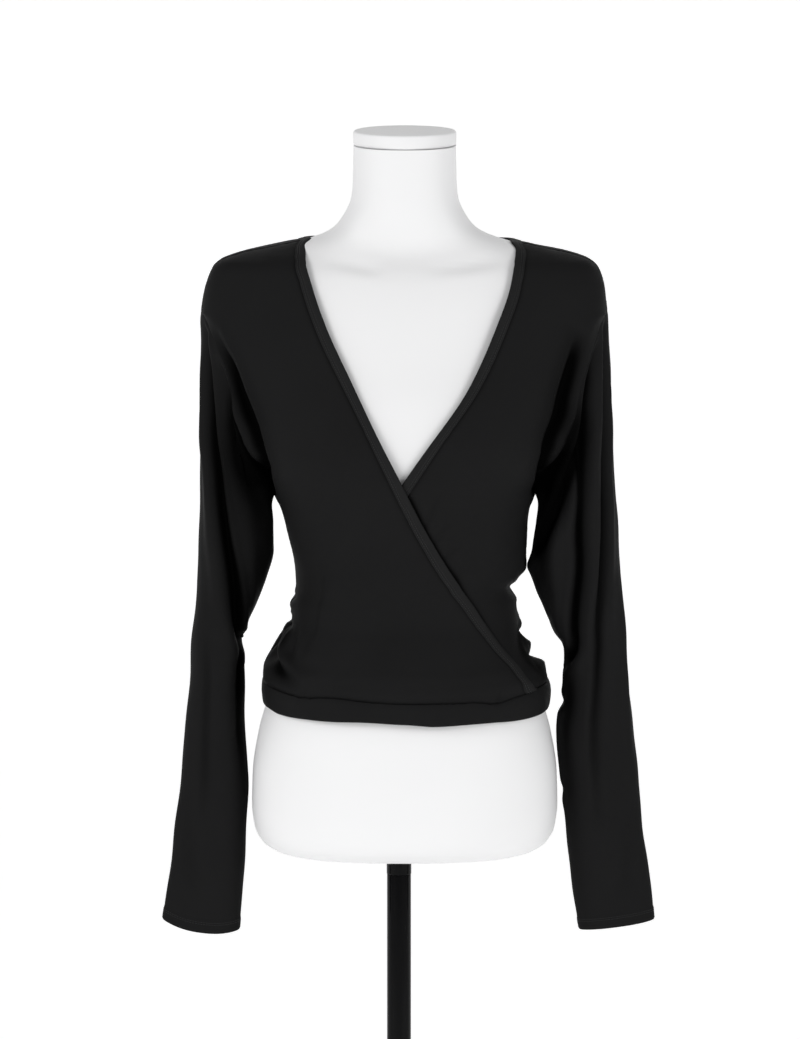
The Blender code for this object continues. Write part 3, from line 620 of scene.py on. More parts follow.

# %% [markdown]
# ## Folds
#
# A fold is a line on the surface along which the cloth dips or rises. Real folds are never even:
# one flank is steeper, the strength comes and goes, and a deep crease pushes up a low ridge on
# both sides. So each fold has a width, a height, a lean towards one side, and stops that carry
# their own strength. Placing them one by one keeps every crease where the eye expects it, which no
# cloth simulation would do. The same lines, drawn with a darkness in place of a height, give the
# shade that the finish of the cloth reads.

# %% Lay folds along lines
Stop = namedtuple("Stop", "a b share")
Fold = namedtuple("Fold", "width height lean stops")
FOLD_STEPS = 20
FOLD_LIP = 0.22
LIP_PLACE = 2.1
FOLD_REACH = 4.0
SHADE_DEPTH = 0.020
DARKEST = 0.97


def fold_line(surface, stops):
    """A fold's smooth line in space, and its strength along it."""
    places = np.arange(len(stops), dtype=float)
    run = np.linspace(0.0, places[-1], FOLD_STEPS)
    columns = [Curve(places, [stop[i] for stop in stops])(run) for i in range(3)]
    return surface(np.radians(columns[0]), columns[1]), columns[2]


def fold_lift(points, normals, surface, folds, lip=FOLD_LIP):
    """How far all the folds together move each point out along its normal."""
    shape = points.shape[:-1]
    points, normals = points.reshape(-1, 3), normals.reshape(-1, 3)
    total = np.zeros(len(points))
    for fold in folds:
        line, share = fold_line(surface, fold.stops)
        reach = FOLD_REACH * fold.width
        inside = (points > line.min(axis=0) - reach) & (points < line.max(axis=0) + reach)
        near = np.nonzero(inside.all(axis=1))[0]
        spots, outs = points[near], normals[near]
        best = np.full(len(near), np.inf)
        strength, lean = np.zeros(len(near)), np.zeros(len(near))
        for i in range(FOLD_STEPS - 1):
            step = line[i + 1] - line[i]
            t = np.clip(((spots - line[i]) @ step) / (step @ step), 0.0, 1.0)
            off = spots - line[i] - t[:, None] * step
            distance = np.linalg.norm(off, axis=1)
            closer = distance < best
            best = np.where(closer, distance, best)
            strength = np.where(closer, mix(share[i], share[i + 1], t), strength)
            turned = np.sum(np.cross(step, outs) * off, axis=1)
            lean = np.where(closer, np.sign(turned), lean)
        width = fold.width * (1 + fold.lean * lean)
        away = best / width
        profile = np.exp(-away * away) - lip * np.exp(-(away - LIP_PLACE) ** 2)
        total[near] += fold.height * strength * profile
    return total.reshape(shape)


def shade_of(points, normals, surface, folds, strokes):
    """How much light is kept from each point, by its folds and by strokes of plain shade."""
    sunk = -fold_lift(points, normals, surface, folds) / SHADE_DEPTH
    drawn = fold_lift(points, normals, surface, strokes, lip=0.0)
    return np.clip(np.maximum(sunk, 0.0) + drawn, 0.0, DARKEST)


def stroke_along(fold, width, darkness, shares):
    """A stroke of shade that follows a fold, with shares of its own at the fold's stops."""
    stops = [Stop(stop.a, stop.b, share) for stop, share in zip(fold.stops, shares)]
    return Fold(width, darkness, 0.0, stops)


print("a fold reaches", FOLD_REACH, "widths to each side")

# %% [markdown]
# These are the folds of the torso. The front ones follow what shows: swags that gather above the
# hem band at the sides, where the short top rides up over the hips, small nicks at the waist and
# four short strain lines where the right front laps over the left. The back has similar ones,
# with a deeper gather in the small of the back. The first strokes of shade follow the two creases
# at the armholes, and the others fill the corners where the cloth sinks in as a whole.

# %% Write down the folds of the torso
TORSO_FOLDS = [
    Fold(0.0090, -0.0130, 0.30, [
        Stop(-68, 1.300, 0.0), Stop(-62, 1.287, 0.3), Stop(-54, 1.262, 0.8), Stop(-49, 1.230, 1.0),
        Stop(-46, 1.201, 1.0), Stop(-51, 1.166, 1.0), Stop(-66, 1.142, 0.9),
        Stop(-82, 1.128, 0.5)]),
    Fold(0.0095, -0.0130, -0.30, [
        Stop(57, 1.300, 0.0), Stop(53, 1.286, 0.3), Stop(49, 1.259, 0.8), Stop(46, 1.226, 1.0),
        Stop(45, 1.194, 1.0), Stop(49, 1.169, 1.0), Stop(62, 1.143, 0.9), Stop(80, 1.128, 0.5)]),
    Fold(0.0080, -0.0075, 0.35, [
        Stop(-84, 0.990, 0.2), Stop(-86, 0.972, 1.0), Stop(-83, 0.957, 1.0),
        Stop(-68, 0.945, 0.8), Stop(-52, 0.937, 0.4), Stop(-42, 0.933, 0.0)]),
    Fold(0.0050, 0.0028, 0.0, [
        Stop(-74, 0.985, 0.0), Stop(-73, 0.966, 1.0), Stop(-66, 0.954, 1.0),
        Stop(-50, 0.946, 0.0)]),
    Fold(0.0060, -0.0028, -0.2, [
        Stop(-66, 0.988, 0.0), Stop(-62, 0.971, 0.7), Stop(-58, 0.957, 1.0),
        Stop(-48, 0.946, 0.7), Stop(-36, 0.939, 0.0)]),
    Fold(0.0065, -0.0014, 0.0, [
        Stop(-52, 0.985, 0.0), Stop(-49, 0.963, 1.0), Stop(-44, 0.950, 0.8),
        Stop(-30, 0.942, 0.0)]),
    Fold(0.0034, -0.0028, 0.0, [
        Stop(-100, 1.012, 0.3), Stop(-89, 1.010, 1.0), Stop(-76, 1.013, 0.0)]),
    Fold(0.0040, -0.0052, 0.2, [
        Stop(-102, 0.988, 0.4), Stop(-90, 0.985, 1.0), Stop(-76, 0.982, 0.4),
        Stop(-66, 0.978, 0.0)]),
    Fold(0.0040, 0.0020, 0.0, [
        Stop(-100, 1.001, 0.6), Stop(-88, 1.000, 1.0), Stop(-72, 1.004, 0.0)]),
    Fold(0.0030, -0.0014, 0.0, [
        Stop(5.5, 1.092, 0.5), Stop(9.5, 1.117, 1.0), Stop(12.0, 1.137, 0.0)]),
    Fold(0.0028, -0.0011, 0.0, [
        Stop(9.5, 1.077, 0.5), Stop(13.7, 1.090, 1.0), Stop(18.5, 1.103, 0.0)]),
    Fold(0.0032, -0.0012, 0.0, [
        Stop(13.0, 1.060, 0.5), Stop(19.0, 1.071, 1.0), Stop(25.0, 1.079, 0.0)]),
    Fold(0.0034, -0.0010, 0.0, [
        Stop(19.0, 1.040, 0.4), Stop(26.0, 1.049, 1.0), Stop(36.0, 1.055, 0.0)]),
    Fold(0.0050, -0.0042, 0.2, [
        Stop(62, 1.030, 0.0), Stop(78, 1.022, 0.8), Stop(90, 1.019, 1.0), Stop(108, 1.022, 0.2)]),
    Fold(0.0060, 0.0024, 0.0, [
        Stop(70, 1.046, 0.0), Stop(86, 1.041, 1.0), Stop(102, 1.044, 0.2)]),
    Fold(0.0042, -0.0022, 0.0, [
        Stop(82, 1.006, 0.0), Stop(93, 0.996, 1.0), Stop(104, 0.990, 0.9), Stop(124, 0.990, 0.0)]),
    Fold(0.0046, -0.0062, 0.2, [
        Stop(78, 0.984, 0.0), Stop(90, 0.974, 1.0), Stop(104, 0.966, 1.0), Stop(128, 0.966, 0.0)]),
    Fold(0.0048, 0.0024, 0.0, [
        Stop(84, 0.963, 0.2), Stop(96, 0.957, 1.0), Stop(112, 0.953, 0.8), Stop(136, 0.956, 0.0)]),
    Fold(0.0044, -0.0060, 0.0, [
        Stop(80, 0.956, 0.1), Stop(92, 0.947, 1.0), Stop(108, 0.942, 0.9), Stop(134, 0.944, 0.0)]),
    Fold(0.0050, 0.0034, 0.0, [
        Stop(82, 0.938, 0.3), Stop(96, 0.934, 1.0), Stop(116, 0.931, 0.6), Stop(140, 0.934, 0.0)]),
    Fold(0.0100, -0.0050, 0.2, [
        Stop(-98, 0.978, 0.3), Stop(-112, 0.966, 1.0), Stop(-134, 0.952, 0.7),
        Stop(-156, 0.944, 0.0)]),
    Fold(0.0080, 0.0030, 0.0, [
        Stop(-104, 0.994, 0.0), Stop(-122, 0.982, 1.0), Stop(-150, 0.968, 0.0)]),
    Fold(0.0110, -0.0052, 0.25, [
        Stop(138, 1.004, 0.0), Stop(158, 0.992, 1.0), Stop(180, 0.987, 0.9),
        Stop(204, 0.994, 1.0), Stop(224, 1.006, 0.0)]),
    Fold(0.0090, -0.0034, -0.2, [
        Stop(146, 0.972, 0.0), Stop(166, 0.963, 1.0), Stop(190, 0.961, 0.8),
        Stop(216, 0.970, 0.0)]),
    Fold(0.0120, 0.0024, 0.0, [
        Stop(150, 0.982, 0.0), Stop(178, 0.974, 1.0), Stop(210, 0.983, 0.0)]),
    Fold(0.0130, -0.0030, 0.0, [
        Stop(130, 1.034, 0.0), Stop(152, 1.022, 1.0), Stop(180, 1.016, 0.0)]),
    Fold(0.0130, -0.0026, 0.0, [
        Stop(186, 1.030, 0.0), Stop(210, 1.036, 1.0), Stop(234, 1.050, 0.0)]),
    Fold(0.0120, -0.0040, 0.2, [
        Stop(118, 1.230, 0.3), Stop(124, 1.180, 1.0), Stop(116, 1.130, 0.6),
        Stop(108, 1.090, 0.0)]),
    Fold(0.0120, -0.0040, -0.2, [
        Stop(-120, 1.236, 0.3), Stop(-126, 1.186, 1.0), Stop(-117, 1.134, 0.6),
        Stop(-108, 1.095, 0.0)]),
    Fold(0.0140, -0.0020, 0.0, [
        Stop(150, 1.300, 0.0), Stop(146, 1.240, 1.0), Stop(138, 1.180, 0.0)]),
    Fold(0.0032, -0.0016, 0.0, [
        Stop(-41.5, 0.915, 1.0), Stop(-40.5, 0.923, 0.7), Stop(-37.5, 0.934, 0.0)]),
    Fold(0.0034, -0.0022, 0.0, [
        Stop(36.0, 0.911, 1.0), Stop(37.0, 0.920, 0.7), Stop(40.0, 0.932, 0.0)]),
    Fold(0.0140, -0.0018, 0.0, [
        Stop(-152, 1.290, 0.0), Stop(-148, 1.230, 1.0), Stop(-140, 1.170, 0.0)]),
]
TORSO_SHADES = [
    stroke_along(TORSO_FOLDS[0], 0.0135, 0.88, (0.0, 0.2, 0.5, 0.9, 1.0, 1.0, 1.0, 1.0)),
    stroke_along(TORSO_FOLDS[1], 0.0155, 1.00, (0.0, 0.4, 0.8, 1.0, 1.0, 1.0, 1.0, 1.0)),
    Fold(0.0200, 0.55, 0.0, [
        Stop(-54, 1.222, 0.0), Stop(-58, 1.198, 0.6), Stop(-64, 1.172, 1.0), Stop(-76, 1.145, 1.0),
        Stop(-88, 1.115, 0.5)]),
    Fold(0.0200, 0.75, 0.0, [
        Stop(54, 1.232, 0.0), Stop(58, 1.204, 0.6), Stop(64, 1.176, 1.0), Stop(76, 1.148, 1.0),
        Stop(88, 1.120, 0.5)]),
    Fold(0.0080, 0.75, 0.0, [
        Stop(-72, 0.988, 0.2), Stop(-74, 0.976, 0.8), Stop(-74, 0.962, 1.0), Stop(-72, 0.950, 1.0),
        Stop(-64, 0.941, 0.9), Stop(-54, 0.935, 0.5), Stop(-42, 0.931, 0.0)]),
    Fold(0.0170, 0.92, 0.0, [
        Stop(76, 0.984, 0.0), Stop(82, 0.968, 0.6), Stop(86, 0.952, 1.0), Stop(86, 0.938, 1.0),
        Stop(88, 0.926, 1.0), Stop(94, 0.918, 0.5)]),
    Fold(0.0070, 0.60, 0.0, [
        Stop(84, 0.986, 0.2), Stop(94, 0.974, 1.0), Stop(104, 0.966, 1.0), Stop(128, 0.966, 0.0)]),
]
print(len(TORSO_FOLDS), "torso folds and", len(TORSO_SHADES), "strokes of shade")

# %% [markdown]
# ## Seam lines
#
# Before cloth is cut, its seams are drawn. Each seam is a line over the torso, paced by its real
# length, so that equal steps along it are equal steps on the cloth. From the front edges we also
# need a second line, one binding width further in, where the binding stops and the front begins.

# %% Draw the seams on the torso
BINDING_WIDTH = 0.0120
SIDE_SEAM_ANGLE = 0.0015
BACK_NECK_DROP = 0.0080
BACK_NECK_FLATNESS = 1.5
SHOULDER_MARGIN = 0.002
RIM_STEPS = 64
RIM_PACE = 1.5
RIM_SPAN = 0.03
INSET_STEPS = 40
SEAM_STEPS = 16
ARMHOLE_SHARE = 0.60


class Path:
    """A line over a torso through (angle, height) stops, paced by its real length."""

    def __init__(self, torso, angles, heights):
        points = torso.base(angles, heights)
        steps = np.linalg.norm(np.diff(points, axis=0), axis=1)
        lengths = np.concatenate([[0.0], np.cumsum(steps)])
        self.length = lengths[-1]
        self.angle = Curve(lengths, angles)
        self.height = Curve(lengths, heights)

    def __call__(self, t):
        t = np.asarray(t, float) * self.length
        return self.angle(t), self.height(t)


def side_angle(side, front=True):
    """The angle of the side and shoulder seams, a little in front of or behind the middle."""
    return side * (math.pi / 2 + (-SIDE_SEAM_ANGLE if front else SIDE_SEAM_ANGLE))


def front_rim(side):
    """The edge of a front, from the neck point down to the hem band."""
    neck_z = NECK_RIGHT_Z if side < 0 else NECK_LEFT_Z
    neck_x = FORM_X + side * float(cloth.half(side, neck_z))
    points = [EdgePoint(neck_x, neck_z)] + (RIGHT_EDGE if side < 0 else LEFT_EDGE)
    points.reverse()
    run = Curve([point.z for point in points], [point.x for point in points])
    heights = mix(neck_z, BAND_TOP, np.linspace(0.0, 1.0, RIM_STEPS + 1) ** RIM_PACE)
    angles = cloth.angle_at(run(heights), heights)
    angles[0] = side_angle(side)
    return Path(cloth, angles, heights)


def back_rim():
    """The back neck edge, from the left neck point round to the right one."""
    t = np.linspace(0.0, 1.0, SEAM_STEPS + 1)
    angles = mix(math.pi / 2, 1.5 * math.pi, t)
    drop = BACK_NECK_DROP * np.abs(np.cos(angles)) ** BACK_NECK_FLATNESS
    return Path(cloth, angles, mix(NECK_LEFT_Z, NECK_RIGHT_Z, t) - drop)


def moved_in(path, t, width, side):
    """The places on the cloth that lie a width away from a path, to one side of it."""
    ahead, behind = path(np.minimum(t + RIM_SPAN, 1.0)), path(np.maximum(t - RIM_SPAN, 0.0))
    along = cloth.base(*ahead) - cloth.base(*behind)
    spot = path(t)
    across = unit(np.cross(along, cloth.normal(*spot))) * side
    return cloth.locate(cloth.base(*spot) + across * width)


def front_inset(side, width):
    """The line a width inside a front's edge, ending on top of the hem band."""
    angles, heights = moved_in(front_rim(side), np.linspace(0, 1, INSET_STEPS + 1), width, -side)
    end = int(np.argmax(heights < BAND_TOP))
    t = (heights[end - 1] - BAND_TOP) / (heights[end - 1] - heights[end])
    last = mix(angles[end - 1], angles[end], t)
    angles, heights = np.append(angles[:end], last), np.append(heights[:end], BAND_TOP)
    angles[0] = side_angle(side)
    return Path(cloth, angles, heights)


def back_inset(width):
    """The line a width below the back neck edge."""
    angles, heights = moved_in(back_rim(), np.linspace(0, 1, INSET_STEPS + 1), width, 1)
    angles = np.mod(angles, math.tau)
    angles[0], angles[-1] = side_angle(1, False), side_angle(-1, False) % math.tau
    return Path(cloth, angles, heights)


def shoulder_line(side, start_z, front=True):
    """The shoulder seam, from beside the neck out to the top of the armhole."""
    angle = side_angle(side, front)
    if not front:
        angle %= math.tau
    heights = [row.z for row in reversed(CLOTH_SECTIONS) if row.z > SHOULDER_POINT_Z]
    heights = [start_z] + [z for z in heights if z < start_z - SHOULDER_MARGIN]
    heights.append(SHOULDER_POINT_Z)
    return Path(cloth, [angle] * len(heights), heights)


def outer_line(side, front=True):
    """Down the armhole seam and the side seam to the hem band."""
    turn = np.linspace(0.0, math.pi, SEAM_STEPS + 1) * (1 if front else -1)
    angles, heights = armhole(side, turn)
    angles = angles + side_angle(side, front) - side * math.pi / 2
    if not front and side < 0:
        angles = angles + math.tau
    seam = Path(cloth, angles, heights)
    down = np.linspace(UNDERARM_Z, BAND_TOP, SEAM_STEPS + 1)
    below = Path(cloth, np.full(len(down), angles[-1]), down)

    def line(v):
        upper = seam(np.minimum(v / ARMHOLE_SHARE, 1.0))
        lower = below(np.maximum(v - ARMHOLE_SHARE, 0.0) / (1 - ARMHOLE_SHARE))
        return [np.where(v < ARMHOLE_SHARE, a, b) for a, b in zip(upper, lower)]

    return line


print("the right front edge is", round(front_rim(-1).length, 3), "m long")

# %% [markdown]
# The right front lies on top of the left one. Where they cover each other, the upper layer is
# lifted by the thickness of what lies below it, and the lower layer is pressed in. Both changes
# fade out softly, or the hidden edge would show as a step through the cloth.

# %% Lift one front over the other
LAP = 0.0031
TUCK = 0.0020
TUCK_FADE = math.radians(20)
LIFT_MARGIN = 0.012
LIFT_FADE = 0.080
LIFT_SIDE_FADE = math.radians(15)

covered = LEFT_EDGE[CROSSING:]
covered_angles = [float(cloth.angle_at(point.x, point.z)) for point in covered]
order = np.argsort(covered_angles)
hidden_rim = Curve(np.array(covered_angles)[order], np.array([p.z for p in covered])[order])


def lift(angle, z):
    """How far the right front is lifted off the torso where the left front lies under it."""
    above = z - hidden_rim(angle) - LIFT_MARGIN
    at_side = smooth((angle + math.pi / 2) / LIFT_SIDE_FADE)
    raised = LAP * smooth(1 - above / LIFT_FADE) * at_side
    return np.where(angle > hidden_rim.places[-1], LAP, raised)


def tuck(angle, z):
    """How far the left front is pressed in where the right front covers it."""
    return -TUCK * smooth((hidden_rim.places[-1] - angle) / TUCK_FADE)


def level(angle, z):
    """Cloth that neither lies over nor under another layer."""
    return np.zeros(np.shape(angle))


print("the fronts lap by", LAP * 1000, "mm")

# %% [markdown]
# The hem band doesn't sit level. It has ridden up over the hips, and at two places in front the
# seam is gathered into a small pucker. So its upper and lower edge each get a height of their
# own around the body, and the cloth above follows the upper one.

# %% Let the hem rise and fall
HEM_FADE = 0.055
HemStop = namedtuple("HemStop", "angle upper lower")
HEM_LINE = [
    HemStop(-180, 0.0020, 0.0015), HemStop(-130, 0.0045, 0.0040), HemStop(-100, 0.0080, 0.0070),
    HemStop(-88, 0.0086, 0.0075), HemStop(-72, 0.0080, 0.0068), HemStop(-60, 0.0060, 0.0042),
    HemStop(-49, 0.0034, 0.0034), HemStop(-41, 0.0014, 0.0033), HemStop(-34, 0.0032, 0.0030),
    HemStop(-28, 0.0036, 0.0029), HemStop(-15, 0.0018, 0.0036), HemStop(0, -0.0006, 0.0016),
    HemStop(9, -0.0008, -0.0006), HemStop(24, -0.0006, 0.0006), HemStop(30, -0.0022, 0.0008),
    HemStop(36, -0.0040, 0.0009), HemStop(42, -0.0012, 0.0005), HemStop(50, 0.0018, 0.0003),
    HemStop(61, 0.0044, 0.0007), HemStop(75, 0.0059, 0.0013), HemStop(90, 0.0064, 0.0020),
    HemStop(130, 0.0040, 0.0025), HemStop(180, 0.0020, 0.0015),
]
hem_line = curves_of(HEM_LINE, [stop.angle for stop in HEM_LINE])


def hem_rise(angle, edge):
    """How far an edge of the hem band is above its even height."""
    turned = np.mod(np.asarray(angle, float) + math.pi, math.tau) - math.pi
    return hem_line[edge](np.degrees(turned))


def hemmed(angle, z):
    """A height, moved with the hem where it is near."""
    return z + hem_rise(angle, "upper") * (1 - smooth((z - BAND_TOP) / HEM_FADE))


print("the hem is highest at the sides:", round(float(hem_rise(-1.5, "upper")), 4), "m")

# %% [markdown]
# ## From a grid of points to a piece of cloth
#
# Every piece starts as a grid of points on the torso. `worn` puts one grid where the cloth really
# hangs: on the surface, plus the hollow at the armhole, plus all folds. `wander` adds what no one
# places by hand, the slow waves that are left in any hung jersey. Beside a seam the cloth dips,
# because the stitches pull it in, and it puckers in small uneven waves.
#
# The grid is one face of the cloth. A Solidify modifier gives it its wall. Each corner also keeps
# its place on the flat pattern in a UV layer, in metres, which the knit follows.

# %% Put grids on the torso and turn them into cloth
WALL = 0.0011
WANDER = 0.00055
SEAM_DIP = 0.0005
SEAM_DIP_WIDTH = 0.0022
SEAM_SHADE = 0.75
SEAM_SHADE_WIDTH = 0.0034
TUCKED = 0.0022
TUCKED_DEPTH = 0.0012
PUCKER = 0.00024
PUCKER_FADE = 0.009
PUCKER_LENGTH = 0.0105
PUCKER_DRIFT = 0.047
PUCKER_PATCH = 0.083


def wander(points, size=WANDER):
    """Slow, uneven waves in three sizes."""
    x, y, z = points[..., 0], points[..., 1], points[..., 2]
    waves = np.sin(41 * x + 23 * z + 1.3 * np.sin(31 * z + 2))
    waves = waves + 0.6 * np.sin(67 * z - 59 * x + 47 * y + 1.1 * np.sin(53 * x - 1))
    waves = waves + 0.35 * np.sin(131 * x + 97 * y - 113 * z + 0.7)
    return size * waves


def beside(points, name):
    """One side of a grid, and how far each point is from it."""
    sides = {"left": (slice(None), slice(0, 1)), "right": (slice(None), slice(-1, None)),
             "top": (slice(0, 1), slice(None)), "bottom": (slice(-1, None), slice(None))}
    edge = points[sides[name]]
    return edge, np.linalg.norm(points - edge, axis=-1)


def seam_lift(points, sides):
    """The dip and the puckers along those sides of a grid that are sewn."""
    total = np.zeros(points.shape[:2])
    for name in sides:
        edge, away = beside(points, name)
        axis = 0 if name in ("left", "right") else 1
        steps = np.linalg.norm(np.diff(edge, axis=axis), axis=-1)
        run = np.cumsum(steps, axis=axis)
        run = np.concatenate([np.zeros_like(run[:1] if axis == 0 else run[:, :1]), run], axis=axis)
        phase = math.tau * run / PUCKER_LENGTH + 2.1 * np.sin(math.tau * run / PUCKER_DRIFT)
        patchy = 0.55 + 0.45 * np.sin(math.tau * run / PUCKER_PATCH + 1.0)
        total -= SEAM_DIP * np.exp(-(away / SEAM_DIP_WIDTH) ** 2)
        total += PUCKER * patchy * np.sin(phase) * np.exp(-away / PUCKER_FADE)
    return total


def worn(angle, z, out=0.0, sewn=()):
    """Points of the hanging cloth."""
    z = hemmed(angle, z)
    points, normals = cloth.base(angle, z), cloth.normal(angle, z)
    height = out + cloth.hollow(angle, z) + wander(points)
    height = height + fold_lift(points, normals, cloth.base, TORSO_FOLDS)
    if sewn:
        height = height + seam_lift(points, sewn)
    return points + normals * np.asarray(height)[..., None]


def torso_shade(angle, z, seams, more=()):
    """The shade of the hanging cloth, with a soft dark line along the named seams."""
    z = hemmed(angle, z)
    points, normals = cloth.base(angle, z), cloth.normal(angle, z)
    shade = shade_of(points, normals, cloth.base, TORSO_FOLDS, TORSO_SHADES + list(more))
    for name in seams:
        away = beside(points, name)[1]
        shade = np.maximum(shade, SEAM_SHADE * np.exp(-(away / SEAM_SHADE_WIDTH) ** 2))
    return shade


def quads(rows, across, columns):
    """Four point numbers for each face of a grid; a last column can join the first."""
    r, c = np.meshgrid(np.arange(rows - 1), np.arange(across), indexing="ij")
    here, below, after = r * columns, (r + 1) * columns, (c + 1) % columns
    corners = [here + c, below + c, below + after, here + after]
    return np.stack(corners, axis=-1).reshape(-1, 4)


def add_piece(name, points, flat, finish, shade=None, closed=False, flip=False):
    """A mesh over a grid of points; flat holds each point's place on the pattern."""
    rows, columns = points.shape[:2]
    across = columns if closed else columns - 1
    corners, spots = quads(rows, across, columns), quads(rows, across, flat.shape[1])
    if flip:
        corners, spots = corners[:, ::-1], spots[:, ::-1]
    mesh = bpy.data.meshes.new(name)
    mesh.from_pydata(points.reshape(-1, 3).tolist(), [], corners.tolist())
    layer = mesh.uv_layers.new(name="flat")
    layer.data.foreach_set("uv", flat.reshape(-1, 2)[spots.reshape(-1)].ravel())
    if shade is not None:
        kept = mesh.attributes.new("shade", "FLOAT", "POINT")
        kept.data.foreach_set("value", shade.ravel())
    mesh.shade_smooth()
    mesh.materials.append(finish)
    return add_object(name, mesh)


def add_wall(piece):
    """Gives a piece its thickness, inwards from the face that shows."""
    solid = piece.modifiers.new("wall", "SOLIDIFY")
    solid.thickness = WALL
    solid.offset = -1.0
    solid.use_even_offset = False
    return piece


def stand_for(piece, node, slot):
    """Lets a piece ride on the root body and take its solid's place, which it hides."""
    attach(piece, "root")
    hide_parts(node)


def area_of(points, closed=False):
    """The area of a grid in square metres."""
    if closed:
        points = np.concatenate([points, points[:, :1]], axis=1)
    across, down = np.diff(points, axis=1)[:-1], np.diff(points, axis=0)[:, :-1]
    return float(np.linalg.norm(np.cross(across, down), axis=-1).sum())


print("cloth walls are", WALL * 1000, "mm")

# %% [markdown]
# ## The fronts
#
# Each front is bounded by four lines: the shoulder seam on top, the hem band below, the binding
# inside and the armhole and side seam outside. A grid that is stretched between four such lines
# is the simplest way to fill an odd shape without gaps. Its rows sag in the middle, so that they
# meet the foot of the armhole at an angle instead of running along it. The last row lies hidden
# behind the hem band. The left front also gets a stroke of shade along the edge that lies over it,
# and two more at the swag by its side.

# %% Cut both fronts
FRONT_COLUMNS = 104
FRONT_ROWS = 190
FRONT_SAG = 0.012
EDGE_SHADOW = 0.80
EDGE_SHADOW_WIDTH = 0.0030
LEFT_SWAG_SHADES = [
    Fold(0.0150, 0.92, 0.0, [
        Stop(84, 0.982, 0.0), Stop(80, 0.974, 0.9), Stop(75, 0.964, 1.0), Stop(72, 0.954, 0.9),
        Stop(73, 0.944, 1.0), Stop(76, 0.936, 1.0), Stop(80, 0.930, 0.3)]),
    Fold(0.0150, 0.80, 0.0, [
        Stop(88, 0.976, 0.5), Stop(85, 0.962, 1.0), Stop(84, 0.948, 1.0), Stop(86, 0.936, 0.8)]),
]


def patch(top, inner, outer, shares, rows, sag):
    """Angles and heights of a grid below one line and between two that end on the hem band."""
    v, u = np.linspace(0.0, 1.0, rows + 1)[:, None], shares[None, :]
    ends = [inner(v[:, 0]), outer(v[:, 0])]
    bottom = Path(cloth, *[[float(end[i][-1]) for end in ends] for i in (0, 1)])
    tops, bottoms = top(u[0]), bottom(u[0])
    corners = [top(np.array([0.0, 1.0])), bottom(np.array([0.0, 1.0]))]
    place = []
    for i in (0, 1):
        across = mix(ends[0][i][:, None], ends[1][i][:, None], u)
        from_top = tops[i] - mix(corners[0][i][0], corners[0][i][1], u[0])
        from_bottom = bottoms[i] - mix(corners[1][i][0], corners[1][i][1], u[0])
        place.append(across + from_top[None, :] * (1 - v) ** 3 + from_bottom[None, :] * v)
    place[1] = place[1] - sag * np.sin(math.pi * u) * np.sin(math.pi * v)
    return place


def cut_panel(name, node, place, layer, shaded, more=(), flip=False):
    """A thin folded panel from its grid, the last row tucked behind the hem band."""
    angle, z = place
    z[-1] -= TUCKED
    out = layer(angle, z)
    out[-1] -= TUCKED_DEPTH
    points = worn(angle, z, out, ("left", "right", "top", "bottom"))
    flat = np.stack([angle * TORSO_RADIUS, z], axis=-1)
    shade = torso_shade(angle, z, shaded, more)
    piece = add_wall(add_piece(name, points, flat, jersey_cloth, shade, flip=flip))
    stand_for(piece, node, "jersey")
    print(name, "area", round(area_of(cloth.base(angle, z)), 4), "m2")
    return piece


def add_front(name, node, side, layer, more=()):
    """A front of the top, with any more strokes of shade of its own."""
    inner, outer = front_inset(side, BINDING_WIDTH - TUCKED), outer_line(side)
    top = shoulder_line(side, float(inner(0.0)[1]))
    shares = np.linspace(0.0, 1.0, FRONT_COLUMNS + 1)
    place = patch(top, inner, outer, shares, FRONT_ROWS, FRONT_SAG)
    return cut_panel(name, node, place, layer, ("left", "bottom"), more, flip=side < 0)


edge_stops = [Stop(math.degrees(cloth.angle_at(point.x, point.z)), point.z, 1.0)
              for point in RIGHT_EDGE[CROSSING - 1:-1]]
shadow_of_edge = Fold(EDGE_SHADOW_WIDTH, EDGE_SHADOW, 0.0, edge_stops)
right_front = add_front("right_front_cloth", "front_right", -1, lift)
left_front = add_front(
    "left_front_cloth", "front_left", 1, tuck, [shadow_of_edge] + LEFT_SWAG_SHADES)

# %% [markdown]
# ## The back
#
# The back is one piece. Its top line is made of three parts, shoulder, neck and shoulder, so the
# columns of the grid are shared out between them.

# %% Cut the back
BACK_ROWS = 170
BACK_SAG = 0.045
SHOULDER_SHARE = 0.27
SHOULDER_COLUMNS = 40
NECK_COLUMNS = 70


def add_back(name, node):
    """The back of the top."""
    neck = back_inset(BINDING_WIDTH - TUCKED)
    left, right = outer_line(1, False), outer_line(-1, False)
    left_top = shoulder_line(1, float(neck(0.0)[1]), False)
    right_top = shoulder_line(-1, float(neck(1.0)[1]), False)
    low, high = SHOULDER_SHARE, 1 - SHOULDER_SHARE

    def top(u):
        parts = [left_top(1 - np.minimum(u, low) / low),
                 neck((np.clip(u, low, high) - low) / (high - low)),
                 right_top((np.maximum(u, high) - high) / low)]
        return [np.where(u < low, a, np.where(u > high, c, b)) for a, b, c in zip(*parts)]

    shares = np.concatenate([
        np.linspace(0.0, low, SHOULDER_COLUMNS, endpoint=False),
        np.linspace(low, high, NECK_COLUMNS, endpoint=False),
        np.linspace(high, 1.0, SHOULDER_COLUMNS + 1)])
    place = patch(top, left, right, shares, BACK_ROWS, BACK_SAG)
    return cut_panel(name, node, place, level, ("top", "bottom"))


back = add_back("back_cloth", "back")
